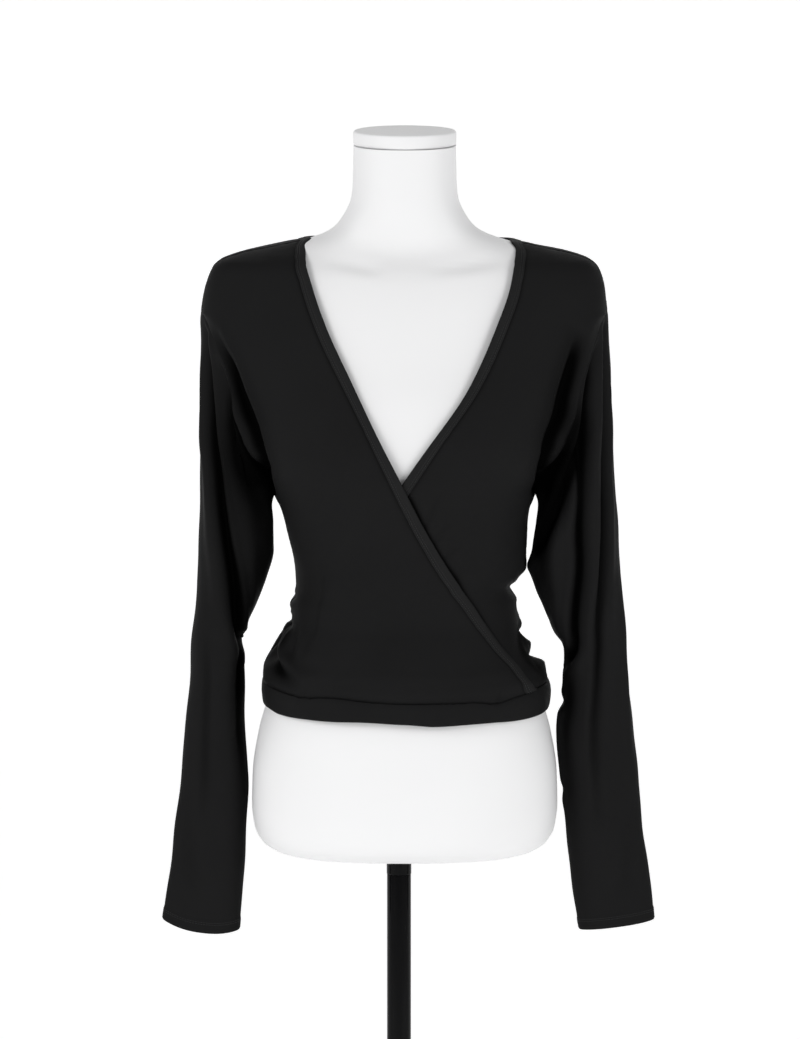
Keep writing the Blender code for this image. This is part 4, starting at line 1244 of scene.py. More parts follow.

# %% [markdown]
# ## The sleeves
#
# A hanging sleeve is a soft tube that has lost its roundness. Fourteen rings describe it: each
# runs from a point of the outer outline to one of the inner outline, and says how deep the tube
# is there. The first ring is the armhole seam itself, and over the first few rings the tube
# leaves that seam and settles into its own shape.
#
# The folds of a dropped sleeve all start at the armhole and fall towards the elbow. Two long
# creases on each sleeve are so deep that their bottoms are quite dark, and the cloth between
# them hangs as a slack pouch that ends in a kink on the inner side. Strokes of painted shade
# make the creases, the pouch and other hollows of each sleeve darker still.

# %% Write down the sleeves and their folds
SLEEVE_CORNER = 0.90
Ring = namedtuple("Ring", "outer_z inner_z outer_right inner_right outer_left inner_left depth y")
SLEEVE_RINGS = [
    Ring(1.3110, 1.1240, 0.2128, 0.1380, 0.2128, 0.1380, 0.0650, 0.0000),
    Ring(1.2850, 1.1050, 0.2124, 0.1435, 0.2140, 0.1445, 0.0620, 0.0000),
    Ring(1.2500, 1.0850, 0.2128, 0.1398, 0.2156, 0.1402, 0.0580, 0.0000),
    Ring(1.2000, 1.0600, 0.2140, 0.1378, 0.2178, 0.1335, 0.0530, -0.0010),
    Ring(1.1400, 1.0300, 0.2150, 0.1450, 0.2203, 0.1325, 0.0480, -0.0020),
    Ring(1.0800, 1.0000, 0.2158, 0.1560, 0.2237, 0.1452, 0.0430, -0.0030),
    Ring(1.0200, 0.9750, 0.2185, 0.1670, 0.2277, 0.1552, 0.0380, -0.0040),
    Ring(0.9650, 0.9500, 0.2235, 0.1696, 0.2321, 0.1680, 0.0330, -0.0050),
    Ring(0.9100, 0.9050, 0.2278, 0.1694, 0.2368, 0.1665, 0.0290, -0.0055),
    Ring(0.8600, 0.8690, 0.2325, 0.1682, 0.2430, 0.1598, 0.0260, -0.0060),
    Ring(0.8000, 0.8040, 0.2380, 0.1650, 0.2482, 0.1660, 0.0225, -0.0065),
    Ring(0.7400, 0.7400, 0.2446, 0.1677, 0.2535, 0.1719, 0.0195, -0.0070),
    Ring(0.7000, 0.6950, 0.2511, 0.1716, 0.2600, 0.1770, 0.0175, -0.0070),
    Ring(0.6660, 0.6550, 0.2560, 0.1745, 0.2636, 0.1845, 0.0165, -0.0070),
]

RIGHT_SLEEVE_FOLDS = [
    Fold(0.0070, -0.0095, 0.35, [
        Stop(22, 0.5, 0.3), Stop(41, 2.2, 0.8), Stop(58, 3.2, 1.0),
        Stop(81, 4.3, 1.0), Stop(115, 5.3, 1.0), Stop(158, 6.2, 0.9), Stop(186, 6.4, 0.5)]),
    Fold(0.0080, 0.0040, 0.0, [
        Stop(12, 1.2, 0.0), Stop(28, 2.6, 1.0), Stop(46, 3.8, 1.0), Stop(76, 5.2, 0.8),
        Stop(112, 6.4, 0.6), Stop(128, 7.4, 0.0)]),
    Fold(0.0110, -0.0050, 0.2, [
        Stop(60, 0.3, 0.6), Stop(92, 0.9, 1.0), Stop(122, 1.5, 0.8), Stop(146, 2.2, 0.0)]),
    Fold(0.0090, -0.0042, 0.0, [
        Stop(164, 6.4, 0.4), Stop(152, 7.4, 1.0), Stop(150, 8.8, 0.9), Stop(149, 10.2, 0.0)]),
    Fold(0.0050, -0.0018, 0.0, [
        Stop(64, 6.4, 0.0), Stop(72, 7.6, 1.0), Stop(76, 9.0, 1.0), Stop(78, 10.6, 0.0)]),
    Fold(0.0045, 0.0012, 0.0, [
        Stop(21, 2.0, 0.0), Stop(26, 3.0, 1.0), Stop(28, 4.2, 0.0)]),
    Fold(0.0060, 0.0016, 0.0, [
        Stop(104, 2.6, 0.0), Stop(122, 3.8, 1.0), Stop(150, 5.0, 0.6), Stop(166, 5.8, 0.0)]),
    Fold(0.0090, -0.0020, 0.0, [
        Stop(40, 9.6, 0.0), Stop(60, 11.0, 1.0), Stop(84, 12.2, 0.0)]),
    Fold(0.0070, -0.0085, -0.3, [
        Stop(-30, 0.4, 0.3), Stop(-56, 2.0, 1.0), Stop(-86, 3.6, 1.0),
        Stop(-124, 5.0, 0.9), Stop(-160, 6.0, 0.4)]),
    Fold(0.0080, -0.0055, 0.0, [
        Stop(-22, 1.6, 0.0), Stop(-40, 3.6, 1.0), Stop(-62, 5.6, 0.9), Stop(-84, 7.8, 0.0)]),
    Fold(0.0100, 0.0038, 0.0, [
        Stop(-40, 1.2, 0.0), Stop(-70, 3.4, 1.0), Stop(-104, 5.2, 0.6), Stop(-128, 6.6, 0.0)]),
    Fold(0.0080, -0.0026, 0.0, [
        Stop(-70, 7.4, 0.0), Stop(-84, 9.0, 1.0), Stop(-92, 10.8, 0.0)]),
]
LEFT_SLEEVE_FOLDS = [
    Fold(0.0075, -0.0090, -0.3, [
        Stop(46, 0.1, 0.4), Stop(65, 0.9, 0.9), Stop(82, 1.7, 1.0),
        Stop(102, 2.1, 1.0), Stop(126, 2.6, 0.9), Stop(150, 3.2, 0.3)]),
    Fold(0.0060, -0.0075, -0.2, [
        Stop(70, 1.6, 0.2), Stop(76, 2.6, 0.9), Stop(82, 3.8, 1.0), Stop(89, 4.8, 1.0),
        Stop(105, 5.7, 1.0), Stop(134, 6.8, 1.0), Stop(166, 7.2, 0.5)]),
    Fold(0.0048, -0.0062, -0.2, [
        Stop(14, 0.1, 0.4), Stop(29, 1.9, 0.7), Stop(40, 3.2, 0.9), Stop(48, 4.4, 1.0),
        Stop(66, 5.6, 1.0), Stop(84, 6.7, 0.9), Stop(94, 8.8, 0.7), Stop(98, 10.6, 0.0)]),
    Fold(0.0055, 0.0030, 0.0, [
        Stop(14, 1.0, 0.0), Stop(21, 2.2, 1.0), Stop(29, 3.4, 1.0), Stop(38, 4.8, 0.5),
        Stop(48, 5.8, 0.0)]),
    Fold(0.0060, 0.0024, 0.0, [
        Stop(14, 5.6, 0.0), Stop(19, 6.8, 1.0), Stop(28, 8.2, 0.9), Stop(38, 9.8, 0.0)]),
    Fold(0.0070, 0.0034, 0.0, [
        Stop(58, 1.6, 0.0), Stop(62, 3.0, 1.0), Stop(70, 4.6, 1.0), Stop(86, 5.9, 0.8),
        Stop(112, 7.2, 0.0)]),
    Fold(0.0070, 0.0026, 0.0, [
        Stop(108, 3.0, 0.0), Stop(118, 4.2, 1.0), Stop(140, 5.6, 0.8), Stop(160, 6.4, 0.0)]),
    Fold(0.0090, 0.0050, 0.0, [
        Stop(138, 3.2, 0.0), Stop(160, 3.5, 1.0), Stop(180, 3.6, 1.0), Stop(208, 3.4, 0.0)]),
    Fold(0.0060, -0.0030, 0.0, [
        Stop(150, 7.9, 0.0), Stop(176, 8.2, 1.0), Stop(206, 8.1, 0.0)]),
    Fold(0.0065, -0.0024, 0.0, [
        Stop(140, 9.7, 0.0), Stop(172, 10.0, 1.0), Stop(200, 9.9, 0.0)]),
    Fold(0.0080, -0.0030, 0.0, [
        Stop(142, 7.2, 0.3), Stop(140, 8.6, 1.0), Stop(138, 10.4, 0.0)]),
    Fold(0.0090, -0.0018, 0.0, [
        Stop(44, 9.8, 0.0), Stop(62, 11.2, 1.0), Stop(82, 12.3, 0.0)]),
    Fold(0.0070, -0.0085, 0.3, [
        Stop(-28, 0.4, 0.3), Stop(-60, 2.2, 1.0), Stop(-92, 3.8, 1.0),
        Stop(-130, 5.2, 0.9), Stop(-164, 6.2, 0.4)]),
    Fold(0.0080, -0.0050, 0.0, [
        Stop(-24, 2.0, 0.0), Stop(-44, 4.0, 1.0), Stop(-66, 6.0, 0.9), Stop(-88, 8.2, 0.0)]),
    Fold(0.0100, 0.0036, 0.0, [
        Stop(-42, 1.4, 0.0), Stop(-74, 3.6, 1.0), Stop(-108, 5.4, 0.6), Stop(-132, 6.8, 0.0)]),
    Fold(0.0080, -0.0024, 0.0, [
        Stop(-66, 7.8, 0.0), Stop(-80, 9.4, 1.0), Stop(-90, 11.0, 0.0)]),
]
# Strokes of painted shade on the sleeves, drawn along the creases and over the pouch.
RIGHT_SLEEVE_SHADES = [
    Fold(0.0340, 0.58, 0.0, [
        Stop(104, 0.4, 0.8), Stop(120, 2.0, 1.0), Stop(138, 3.5, 1.0), Stop(152, 5.0, 0.9),
        Stop(166, 6.0, 0.4)]),
    Fold(0.0080, 0.70, 0.0, [
        Stop(20, 0.3, 0.3), Stop(41, 2.2, 0.8), Stop(58, 3.2, 1.0), Stop(81, 4.3, 1.0),
        Stop(115, 5.3, 1.0), Stop(158, 6.2, 1.0), Stop(186, 6.4, 0.8)]),
    Fold(0.0095, 0.78, 0.0, [
        Stop(168, 6.2, 0.9), Stop(156, 7.4, 1.0), Stop(152, 8.8, 0.9), Stop(150, 10.0, 0.6),
        Stop(152, 11.5, 0.35), Stop(155, 13.0, 0.25)]),
    Fold(0.0060, 0.25, 0.0, [
        Stop(66, 6.6, 0.0), Stop(73, 7.8, 1.0), Stop(77, 9.2, 1.0), Stop(79, 10.6, 0.0)]),
    Fold(0.0160, 0.70, 0.0, [
        Stop(66, 0.2, 0.2), Stop(94, 0.3, 0.9), Stop(130, 0.4, 1.0), Stop(165, 0.5, 1.0)]),
]
LEFT_SLEEVE_SHADES = [
    stroke_along(LEFT_SLEEVE_FOLDS[0], 0.0065, 0.70, (0.3, 0.9, 1.0, 1.0, 1.0, 0.8)),
    Fold(0.0060, 0.62, 0.0, [
        Stop(70, 1.6, 0.3), Stop(76, 2.6, 0.9), Stop(82, 3.8, 1.0), Stop(89, 4.8, 1.0),
        Stop(105, 5.7, 1.0), Stop(134, 6.8, 1.0), Stop(160, 7.2, 0.8)]),
    stroke_along(LEFT_SLEEVE_FOLDS[2], 0.0042, 0.48, (0.3, 0.7, 0.9, 1.0, 1.0, 0.9, 0.6, 0.0)),
    Fold(0.0130, 0.75, 0.0, [
        Stop(128, 0.2, 0.8), Stop(137, 1.6, 1.0), Stop(141, 3.0, 1.0), Stop(138, 4.2, 0.6),
        Stop(134, 5.2, 0.0)]),
    Fold(0.0090, 0.55, 0.0, [
        Stop(160, 6.8, 0.6), Stop(146, 8.0, 1.0), Stop(141, 9.4, 0.8), Stop(140, 11.0, 0.3),
        Stop(142, 13.0, 0.2)]),
    Fold(0.0150, 0.85, 0.0, [
        Stop(74, 0.2, 0.2), Stop(100, 0.3, 0.9), Stop(130, 0.4, 1.0), Stop(165, 0.5, 1.0)]),
]
print(len(RIGHT_SLEEVE_FOLDS), "and", len(LEFT_SLEEVE_FOLDS), "sleeve folds")

# %% [markdown]
# The cuff is the sleeve's own end, turned up inside and stitched with two rows. So its last 13 mm
# are a trace thicker, with a soft step where the turned-up layer ends, and the edge itself rolls
# in a little. At the top one more row lies hidden under the torso's cloth, as a seam allowance
# does, so that no light gets through the seam.

# %% Sew the sleeves
ARMHOLE_FADE = 4.0
SEAM_FADE = 0.5
SLEEVE_SIDES = 132
SLEEVE_ROWS = 236
SLEEVE_FLAT_RADIUS = 0.045
SEAM_SAMPLES = 180
TURN_STEP = 0.02
RING_STEP = 0.05
CUFF_HEIGHT = 0.0130
CUFF_RISE = 0.0007
CUFF_SOFTNESS = 0.0016
CUFF_STITCHES = (0.0098, 0.0118)
STITCH_DIP = 0.35 * CUFF_RISE
STITCH_DIP_WIDTH = 0.0006
EDGE_ROLL = 0.0009
DROOP_START = 10.0
DROOPS = {-1: 0.0072, 1: 0.0012}
ALLOWANCE = 1.05
ALLOWANCE_DEPTH = 0.0022


class Sleeve:
    """A sleeve as rings that leave the armhole seam and settle into flat hanging ovals."""

    def __init__(self, side, folds, strokes):
        steps = np.arange(len(SLEEVE_RINGS), dtype=float)
        self.side, self.folds, self.strokes, self.last = side, folds, strokes, steps[-1]
        curves = curves_of(SLEEVE_RINGS, steps)
        self.outer_z, self.inner_z = curves["outer_z"], curves["inner_z"]
        self.depth, self.y = curves["depth"], curves["y"]
        word = "right" if side < 0 else "left"
        self.outer, self.inner = curves["outer_" + word], curves["inner_" + word]
        self.turns = np.linspace(-math.pi, math.pi, SEAM_SAMPLES + 1)
        self.seam = worn(*armhole(side, self.turns)) - self.oval(self.turns, 0.0)

    def oval(self, turn, k):
        """Turn 0 is the outer line of the sleeve, 90 its front and 180 its inner line."""
        turn, k = np.broadcast_arrays(np.asarray(turn, float), np.asarray(k, float))
        share = (1 - power(np.cos(turn), SLEEVE_CORNER)) / 2
        x = FORM_X + self.side * mix(self.outer(k), self.inner(k), share)
        y = self.y(k) - self.depth(k) * power(np.sin(turn), SLEEVE_CORNER)
        droop = DROOPS[self.side] * smooth((k - DROOP_START) / (self.last - DROOP_START))
        z = mix(self.outer_z(k), self.inner_z(k), share) - droop * np.sin(turn) ** 2
        return np.stack([x, y, z], axis=-1)

    def base(self, turn, k):
        """The tube without folds, drawn to the armhole seam over its first rings."""
        turn, k = np.broadcast_arrays(np.asarray(turn, float), np.asarray(k, float))
        wrapped = np.mod(turn + math.pi, math.tau) - math.pi
        pull = [np.interp(wrapped, self.turns, self.seam[:, i]) for i in range(3)]
        fade = 1 - smooth(k / ARMHOLE_FADE)
        return self.oval(turn, k) + np.stack(pull, axis=-1) * fade[..., None]

    def normal(self, turn, k):
        """The way straight out of the tube."""
        low, high = np.maximum(k - RING_STEP, 0.0), np.minimum(k + RING_STEP, self.last)
        across = self.base(turn + TURN_STEP, k) - self.base(turn - TURN_STEP, k)
        return unit(np.cross(across, self.base(turn, high) - self.base(turn, low))) * self.side

    def hung(self, turn, k):
        """Points of the hanging sleeve and the way out from each."""
        points, normals = self.base(turn, k), self.normal(turn, k)
        height = fold_lift(points, normals, self.base, self.folds) + wander(points)
        return points + normals * (height * smooth(k / SEAM_FADE))[..., None], normals

    def shade(self, turn, k):
        """The shade on the sleeve, from its folds and its strokes."""
        points, normals = self.base(turn, k), self.normal(turn, k)
        return shade_of(points, normals, self.base, self.folds, self.strokes)

    def allowance(self, turn):
        """The hidden first row, which lies under the torso's cloth beyond the seam."""
        return worn(*armhole(self.side, turn, ALLOWANCE), -ALLOWANCE_DEPTH)


def to_end(points):
    """How far each point of a sleeve is from its cuff edge, along its column."""
    steps = np.linalg.norm(np.diff(points, axis=0), axis=-1)
    run = np.cumsum(steps[::-1], axis=0)[::-1]
    return np.concatenate([run, np.zeros_like(run[:1])], axis=0)


def ring_at(points, distance):
    """The closed line round a sleeve that lies a distance above its cuff edge."""
    away, points = to_end(points)[::-1], points[::-1]
    line = [[np.interp(distance, away[:, c], points[:, c, i]) for i in range(3)]
            for c in range(points.shape[1])]
    return np.array(line + line[:1])


def add_sleeve(name, node, side, folds, strokes):
    """A sleeve from the armhole seam to the cuff, with the lines of its two stitch rows."""
    cut = Sleeve(side, folds, strokes)
    turn = np.linspace(0.0, math.tau, SLEEVE_SIDES, endpoint=False)[None, :]
    k = np.linspace(0.0, cut.last, SLEEVE_ROWS + 1)[:, None]
    turn, k = np.broadcast_arrays(turn, k)
    points, normals = cut.hung(turn, k)
    away = to_end(points)
    hem = CUFF_RISE * smooth((CUFF_HEIGHT - away) / CUFF_SOFTNESS + 0.5)
    hem = hem - EDGE_ROLL * smooth(1 - away / (2 * EDGE_ROLL))
    for place in CUFF_STITCHES:
        hem = hem - STITCH_DIP * np.exp(-((away - place) / STITCH_DIP_WIDTH) ** 2)
    points = points + normals * (hem + seam_lift(points, ("top",)))[..., None]
    points = np.concatenate([cut.allowance(turn[:1]), points])
    shade = cut.shade(turn, k)
    shade = np.concatenate([shade[:1], shade])
    wide = np.linspace(0.0, math.tau, SLEEVE_SIDES + 1)
    run = to_end(points)
    run = np.concatenate([run, run[:, :1]], axis=1)
    flat = np.stack([np.broadcast_to(wide * SLEEVE_FLAT_RADIUS, run.shape), run], axis=-1)
    piece = add_piece(name, points, flat, jersey_cloth, shade, closed=True, flip=side > 0)
    stand_for(add_wall(piece), node, "jersey")
    print(name, "area", round(area_of(cut.base(turn, k), closed=True), 4), "m2")
    return piece, [ring_at(points, place) for place in CUFF_STITCHES]


right_sleeve, right_rows = add_sleeve(
    "right_sleeve_cloth", "sleeve_right", -1, RIGHT_SLEEVE_FOLDS, RIGHT_SLEEVE_SHADES)
left_sleeve, left_rows = add_sleeve(
    "left_sleeve_cloth", "sleeve_left", 1, LEFT_SLEEVE_FOLDS, LEFT_SLEEVE_SHADES)

# %% [markdown]
# ## The binding and the hem band
#
# Both are strips folded in half, so their free edge is round and they are thicker than the rest.
# Instead of one face with a wall, each is drawn as a closed loop, out over the front and back
# behind, and that loop is carried along the seam. On the binding two shallow grooves run where
# the twin needle has pulled the cloth down.

# %% Fold the strips
LoopPoint = namedtuple("LoopPoint", "share out")
BINDING_LOOP = [
    LoopPoint(0.00, -0.0009), LoopPoint(0.02, -0.0003), LoopPoint(0.07, 0.0002),
    LoopPoint(0.20, 0.0005), LoopPoint(0.38, 0.0006), LoopPoint(0.52, 0.0004),
    LoopPoint(0.58, 0.0000), LoopPoint(0.64, 0.0003), LoopPoint(0.72, 0.0003),
    LoopPoint(0.78, -0.0001), LoopPoint(0.84, 0.0002), LoopPoint(0.93, 0.0001),
    LoopPoint(0.98, -0.0004), LoopPoint(1.00, -0.0010), LoopPoint(0.98, -0.0016),
    LoopPoint(0.50, -0.0016), LoopPoint(0.06, -0.0016), LoopPoint(0.01, -0.0014),
]
BINDING_STITCHES = (0.58, 0.78)
FRONT_STEPS = 230
BACK_NECK_STEPS = 90
BAND_LOOP = [
    LoopPoint(0.000, -0.0010), LoopPoint(0.010, -0.0002), LoopPoint(0.040, 0.0005),
    LoopPoint(0.120, 0.0014), LoopPoint(0.250, 0.0021), LoopPoint(0.420, 0.0024),
    LoopPoint(0.600, 0.0021), LoopPoint(0.780, 0.0017), LoopPoint(0.900, 0.0012),
    LoopPoint(0.970, 0.0006), LoopPoint(1.000, -0.0004), LoopPoint(0.985, -0.0013),
    LoopPoint(0.900, -0.0017), LoopPoint(0.500, -0.0017), LoopPoint(0.100, -0.0017),
    LoopPoint(0.015, -0.0015),
]
BAND_HEIGHT = 0.0250
BAND_OUT = 0.0011
BAND_GAP = 0.0003
BAND_WAVE = 0.0007
BAND_WANDER = 0.0003
BAND_SIDES = 460


def binding_lines():
    """The free edge and the seam of the binding, and the layer it lies in, right end first."""
    t = np.linspace(0.0, 1.0, FRONT_STEPS + 1)
    s = np.linspace(0.0, 1.0, BACK_NECK_STEPS + 1)[1:-1]
    parts = [(front_rim(-1), front_inset(-1, BINDING_WIDTH), t[::-1], lift),
             (back_rim(), back_inset(BINDING_WIDTH), s[::-1], level),
             (front_rim(1), front_inset(1, BINDING_WIDTH), t, tuck)]
    return [(rim(shares), seam(shares), layer) for rim, seam, shares, layer in parts]


def add_binding(name, node):
    """The strip along both front edges and the back neck, with its stitch lines."""
    shares, outs = np.array(BINDING_LOOP).T[:, None, :]
    grids, rows = [], [[] for _ in BINDING_STITCHES]
    for rim, seam, layer in binding_lines():
        angle, z = [mix(a[:, None], b[:, None], shares) for a, b in zip(rim, seam)]
        grids.append(worn(angle, z, outs + layer(angle, z)))
        for line, share in zip(rows, BINDING_STITCHES):
            angle, z = [mix(a, b, share) for a, b in zip(rim, seam)]
            line.append(worn(angle, z, layer(angle, z)))
    points = np.concatenate(grids)
    steps = np.linalg.norm(np.diff(points[:, 0], axis=0), axis=-1)
    run = np.concatenate([[0.0], np.cumsum(steps)])
    spread = np.append(shares[0], shares[0, 0]) * BINDING_WIDTH
    spread, run = np.broadcast_arrays(spread[None, :], run[:, None])
    flat = np.stack([run, spread], axis=-1)
    piece = add_piece(name, points, flat, binding_cloth_painted_lighter, closed=True)
    stand_for(piece, node, "binding")
    print(name, "is", round(float(run[-1, 0]), 3), "m long")
    return piece, [np.concatenate(line) for line in rows]


def add_band(name, node):
    """The hem band, a folded ring that rises and falls with the hem."""
    turns = np.linspace(0.0, math.tau, BAND_SIDES + 1)
    shares, outs = np.array(BAND_LOOP).T[..., None]
    angle = turns[None, :-1]
    out = unit(cloth.normal(angle, BAND_TOP) * np.array([1.0, 1.0, 0.0]))
    full = shares * (1 - shares) * 4
    waves = BAND_WAVE * np.sin(9 * angle + 1.7 * np.sin(4 * angle)) * full
    points = cloth.base(angle, BAND_TOP) + out * (outs + waves + BAND_OUT)[..., None]
    rise = mix(hem_rise(angle, "upper"), hem_rise(angle, "lower"), shares)
    points[..., 2] = BAND_TOP - BAND_GAP - shares * BAND_HEIGHT + rise
    points = points + out * wander(points, BAND_WANDER)[..., None]
    points = np.concatenate([points, points[:1]])
    down = np.append(shares[:, 0], 1.0) * BAND_HEIGHT
    around, down = np.broadcast_arrays(turns[None, :] * TORSO_RADIUS, down[:, None])
    flat = np.stack([around, down], axis=-1)
    piece = add_piece(name, points, flat, jersey_cloth, closed=True)
    weld(piece)
    stand_for(piece, node, "jersey")
    length = np.linalg.norm(np.diff(points[0], axis=0), axis=-1).sum()
    print(name, "is", round(float(length), 3), "m round")
    return piece


def weld(piece):
    """Joins points that lie on the same spot, so that a loop of faces closes."""
    bm = bmesh.new()
    bm.from_mesh(piece.data)
    bmesh.ops.remove_doubles(bm, verts=bm.verts, dist=0.00001)
    bm.to_mesh(piece.data)
    bm.free()


binding, binding_rows = add_binding("binding_strip", "neck_binding")
hem_band = add_band("hem_band_strip", "hem_band")

# %% [markdown]
# ## Stitches
#
# A stitch is the same little thing a thousand times over, which is a job for a node group: it
# resamples a line into even steps, puts a stretched bead on each and turns it along the line.
# Its inputs are named, so the same group serves every row. The result is frozen into a plain
# mesh at the end.

# %% Build the stitch row group
STITCH_PITCH = 0.0029
STITCH_LENGTH = 0.0023
THREAD_WIDTH = 0.00042


def stitch_group():
    """A node group that lays stitches along a line of edges."""
    group = bpy.data.node_groups.new("stitch_row", "GeometryNodeTree")
    face = group.interface
    face.new_socket("Line", in_out="INPUT", socket_type="NodeSocketGeometry")
    for word in ("Pitch", "Stitch length", "Thread width"):
        face.new_socket(word, in_out="INPUT", socket_type="NodeSocketFloat")
    face.new_socket("Thread", in_out="INPUT", socket_type="NodeSocketMaterial")
    face.new_socket("Stitches", in_out="OUTPUT", socket_type="NodeSocketGeometry")
    kinds = {"given": "NodeGroupInput", "result": "NodeGroupOutput",
             "curve": "GeometryNodeMeshToCurve", "even": "GeometryNodeResampleCurve",
             "bead": "GeometryNodeMeshUVSphere", "size": "ShaderNodeCombineXYZ",
             "shaped": "GeometryNodeTransform", "way": "GeometryNodeInputTangent",
             "turned": "FunctionNodeAlignRotationToVector",
             "laid": "GeometryNodeInstanceOnPoints", "real": "GeometryNodeRealizeInstances",
             "dyed": "GeometryNodeSetMaterial"}
    n = {word: group.nodes.new(kind) for word, kind in kinds.items()}
    n["even"].mode = "LENGTH"
    n["turned"].axis = "Z"
    n["bead"].inputs["Segments"].default_value = 6
    n["bead"].inputs["Rings"].default_value = 5
    n["bead"].inputs["Radius"].default_value = 0.5
    wires = [("given", "Line", "curve", "Mesh"), ("curve", "Curve", "even", "Curve"),
             ("given", "Pitch", "even", "Length"), ("given", "Thread width", "size", "X"),
             ("given", "Thread width", "size", "Y"), ("given", "Stitch length", "size", "Z"),
             ("bead", "Mesh", "shaped", "Geometry"), ("size", "Vector", "shaped", "Scale"),
             ("way", "Tangent", "turned", "Vector"), ("even", "Curve", "laid", "Points"),
             ("shaped", "Geometry", "laid", "Instance"),
             ("turned", "Rotation", "laid", "Rotation"),
             ("laid", "Instances", "real", "Geometry"), ("real", "Geometry", "dyed", "Geometry"),
             ("given", "Thread", "dyed", "Material"), ("dyed", "Geometry", "result", "Stitches")]
    for start, leaves, end, enters in wires:
        group.links.new(n[start].outputs[leaves], n[end].inputs[enters])
    return group


stitch_row = stitch_group()
print("stitch group with", len(stitch_row.nodes), "nodes")

# %% [markdown]
# Each row starts as a bare line of edges that follows the groove in the cloth.

# %% Sew the rows


def sew(name, lines):
    """One object with stitches along all the given lines."""
    places, edges = [], []
    for line in lines:
        first = len(places)
        places += line.tolist()
        edges += [(first + i, first + i + 1) for i in range(len(line) - 1)]
    mesh = bpy.data.meshes.new(name)
    mesh.from_pydata(places, edges, [])
    row = add_object(name, mesh)
    nodes = row.modifiers.new("stitches", "NODES")
    nodes.node_group = stitch_row
    values = {"Pitch": STITCH_PITCH, "Stitch length": STITCH_LENGTH,
              "Thread width": THREAD_WIDTH, "Thread": thread.material}
    for item in stitch_row.interface.items_tree:
        if item.in_out == "INPUT" and item.name in values:
            nodes[item.identifier] = values[item.name]
    row.update_tag()
    graph = bpy.context.evaluated_depsgraph_get()
    frozen = bpy.data.meshes.new_from_object(row.evaluated_get(graph))
    row.modifiers.clear()
    row.data = frozen
    row.data.shade_smooth()
    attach(row, "root")
    print(name, "has", len(frozen.polygons), "faces")
    return row


binding_stitches = sew("binding_stitches", binding_rows)
right_cuff_stitches = sew("right_cuff_stitches", right_rows)
left_cuff_stitches = sew("left_cuff_stitches", left_rows)

# %% [markdown]
# ## The dress form and its stand
#
# The form is one smooth closed body. It is drawn from its own table of cuts, with many more sides
# than its solid, because a bright smooth surface shows every corner. Two faint hollows below the
# neck hint at collar bones.

# %% Mould the form
FORM_SECTIONS = [
    Section(0.7370, 0.1240, 0.1240, 0.0740, 0.0780),
    Section(0.7410, 0.1370, 0.1370, 0.0860, 0.0900),
    Section(0.7500, 0.1500, 0.1500, 0.0960, 0.1010),
    Section(0.7650, 0.1580, 0.1580, 0.1030, 0.1090),
    Section(0.7900, 0.1610, 0.1610, 0.1070, 0.1150),
    Section(0.8250, 0.1600, 0.1600, 0.1090, 0.1150),
    Section(0.8650, 0.1540, 0.1540, 0.1090, 0.1090),
    Section(0.9000, 0.1440, 0.1440, 0.1070, 0.1020),
    Section(0.9350, 0.1310, 0.1310, 0.1030, 0.0940),
    Section(0.9700, 0.1160, 0.1150, 0.0960, 0.0860),
    Section(1.0080, 0.1080, 0.1080, 0.0905, 0.0790),
    Section(1.0400, 0.1070, 0.1090, 0.0910, 0.0770),
    Section(1.0850, 0.1160, 0.1180, 0.1020, 0.0800),
    Section(1.1240, 0.1270, 0.1270, 0.1130, 0.0850),
    Section(1.1600, 0.1370, 0.1370, 0.1170, 0.0900),
    Section(1.2175, 0.1540, 0.1540, 0.1130, 0.0985),
    Section(1.2690, 0.1660, 0.1660, 0.1000, 0.1020),
    Section(1.3110, 0.1740, 0.1740, 0.0870, 0.0990),
    Section(1.3365, 0.1770, 0.1770, 0.0770, 0.0940),
    Section(1.3514, 0.1770, 0.1770, 0.0695, 0.0900),
    Section(1.3610, 0.1720, 0.1720, 0.0625, 0.0860),
    Section(1.3690, 0.1610, 0.1610, 0.0545, 0.0810),
    Section(1.3757, 0.1400, 0.1400, 0.0490, 0.0765),
    Section(1.3836, 0.1110, 0.1110, 0.0460, 0.0710),
    Section(1.3908, 0.0890, 0.0890, 0.0455, 0.0665),
    Section(1.3992, 0.0745, 0.0745, 0.0465, 0.0630),
    Section(1.4087, 0.0665, 0.0665, 0.0475, 0.0605),
    Section(1.4193, 0.0604, 0.0604, 0.0485, 0.0585),
    Section(1.4290, 0.0565, 0.0565, 0.0495, 0.0570),
    Section(1.4450, 0.0545, 0.0545, 0.0500, 0.0560),
    Section(1.4857, 0.0535, 0.0535, 0.0500, 0.0560),
]
FORM_FOLDS = [
    Fold(0.0065, -0.0028, 0.0, [
        Stop(-5, 1.362, 0.0), Stop(-10, 1.364, 1.0), Stop(-17, 1.367, 0.8), Stop(-30, 1.372, 0.0)]),
    Fold(0.0065, -0.0028, 0.0, [
        Stop(4, 1.362, 0.0), Stop(12, 1.364, 0.8), Stop(22, 1.367, 1.0), Stop(42, 1.374, 0.0)]),
]
FORM_SIDES = 144
FORM_ROWS = 190
SHARP_ANGLE = math.radians(42)

form = Torso(FORM_SECTIONS)


def add_closed(name, rows, finish, node, slot):
    """A closed body from level rings of points, the highest first."""
    count = rows.shape[1]
    faces = quads(len(rows), count, count).tolist()
    faces.append(list(range(count)))
    faces.append(list(range((len(rows) - 1) * count, len(rows) * count))[::-1])
    mesh = bpy.data.meshes.new(name)
    mesh.from_pydata(rows.reshape(-1, 3).tolist(), [], faces)
    mesh.shade_smooth()
    mesh.set_sharp_from_angle(angle=SHARP_ANGLE)
    mesh.materials.append(finish.material)
    stand_for(add_object(name, mesh), node, slot)


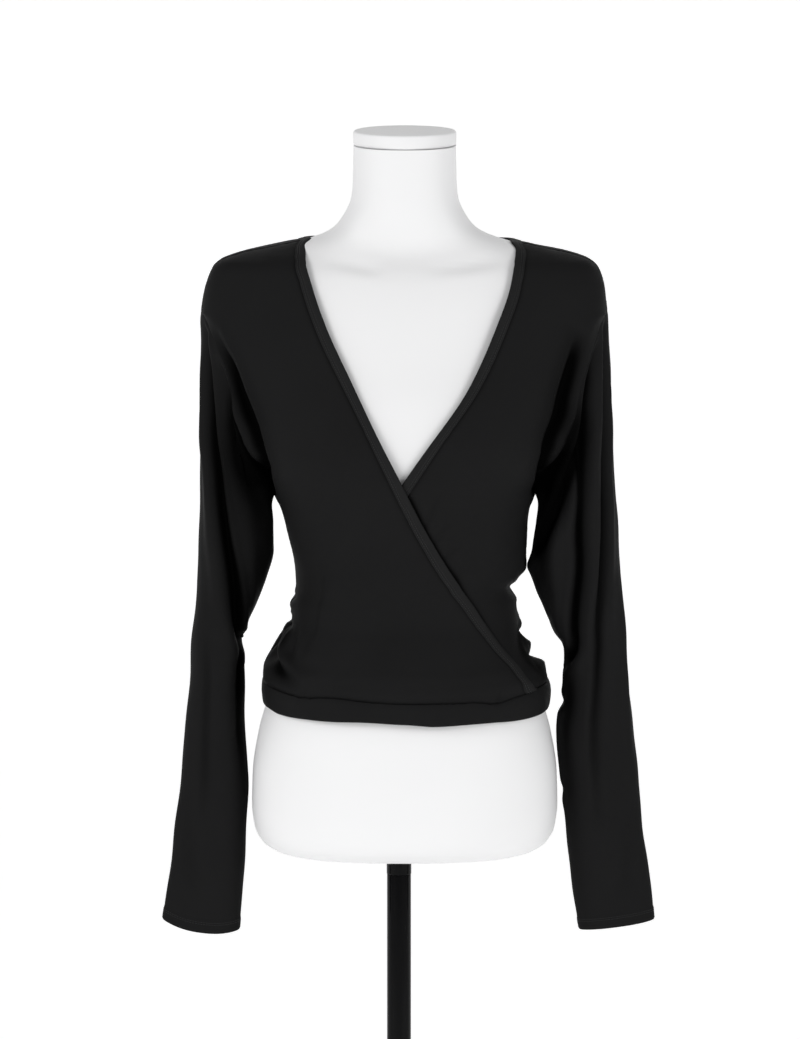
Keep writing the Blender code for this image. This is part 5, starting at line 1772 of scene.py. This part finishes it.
heights = np.linspace(FORM_SECTIONS[-1].z, FORM_SECTIONS[0].z, FORM_ROWS)[:, None]
turns = np.linspace(0.0, math.tau, FORM_SIDES, endpoint=False)[None, :]
turns, heights = np.broadcast_arrays(turns, heights)
skin, skin_out = form.base(turns, heights), form.normal(turns, heights)
skin = skin + skin_out * fold_lift(skin, skin_out, form.base, FORM_FOLDS)[..., None]
add_closed("form_skin", skin, white_form, "form_body", "form")
print("form with", skin.shape[0] * skin.shape[1], "points")

# %% [markdown]
# The cap of the neck, the socket, the pole and the base are all turned shapes: an outline of
# radius and height, carried round an axis. Small rounded edges catch the light, as on real parts.

# %% Turn the cap, the socket, the pole and the base
ROUND_SIDES = 96
CORNER_STEPS = 6
Turned = namedtuple("Turned", "name node slot finish radius low high edge x y squash")
TURNED = [
    Turned("neck_cap", "form_neck_cap", "form", white_form,
           0.0540, 1.4860, 1.5010, 0.0025, FORM_X, 0.0030, 0.0530 / 0.0540),
    Turned("socket_ring", "pole_socket", "pole", pole_paint,
           0.0131, 0.7127, 0.7367, 0.0008, 0.0, 0.0, 1.0),
    Turned("pole_tube", "pole", "pole", pole_paint,
           0.0127, 0.0103, 0.7124, 0.0004, 0.0, 0.0, 1.0),
    Turned("base_disc", "base_plate", "base", base_paint,
           0.1550, 0.0000, 0.0100, 0.0020, 0.0, 0.0, 1.0),
]


def rounded(radius, low, high, edge):
    """An outline from the top centre edge down to the bottom one, its corners rounded."""
    line = []
    for corner, z in ((1, high - edge), (-1, low + edge)):
        for i in range(CORNER_STEPS + 1):
            turn = math.pi / 2 * (i / CORNER_STEPS if corner > 0 else 1 - i / CORNER_STEPS)
            line.append((radius - edge + edge * math.sin(turn), z + corner * edge * math.cos(turn)))
    return line


def add_turned(body):
    """A closed body, its outline carried round its axis."""
    turn = np.linspace(0.0, math.tau, ROUND_SIDES, endpoint=False)
    rows = []
    for radius, z in rounded(body.radius, body.low, body.high, body.edge):
        x = body.x + radius * np.sin(turn)
        y = body.y - radius * body.squash * np.cos(turn)
        rows.append(np.stack([x, y, np.full(len(turn), z)], axis=-1))
    add_closed(body.name, np.array(rows), body.finish, body.node, body.slot)


for body in TURNED:
    add_turned(body)
print("stand done,", len(TURNED), "turned bodies")

# %% [markdown]
# ## The pieces of cloth
#
# Each piece of cloth had a flat size before it was sewn. The top is sewn from seven pieces.

# %% Count the pieces of cloth
print("seven pieces of cloth")
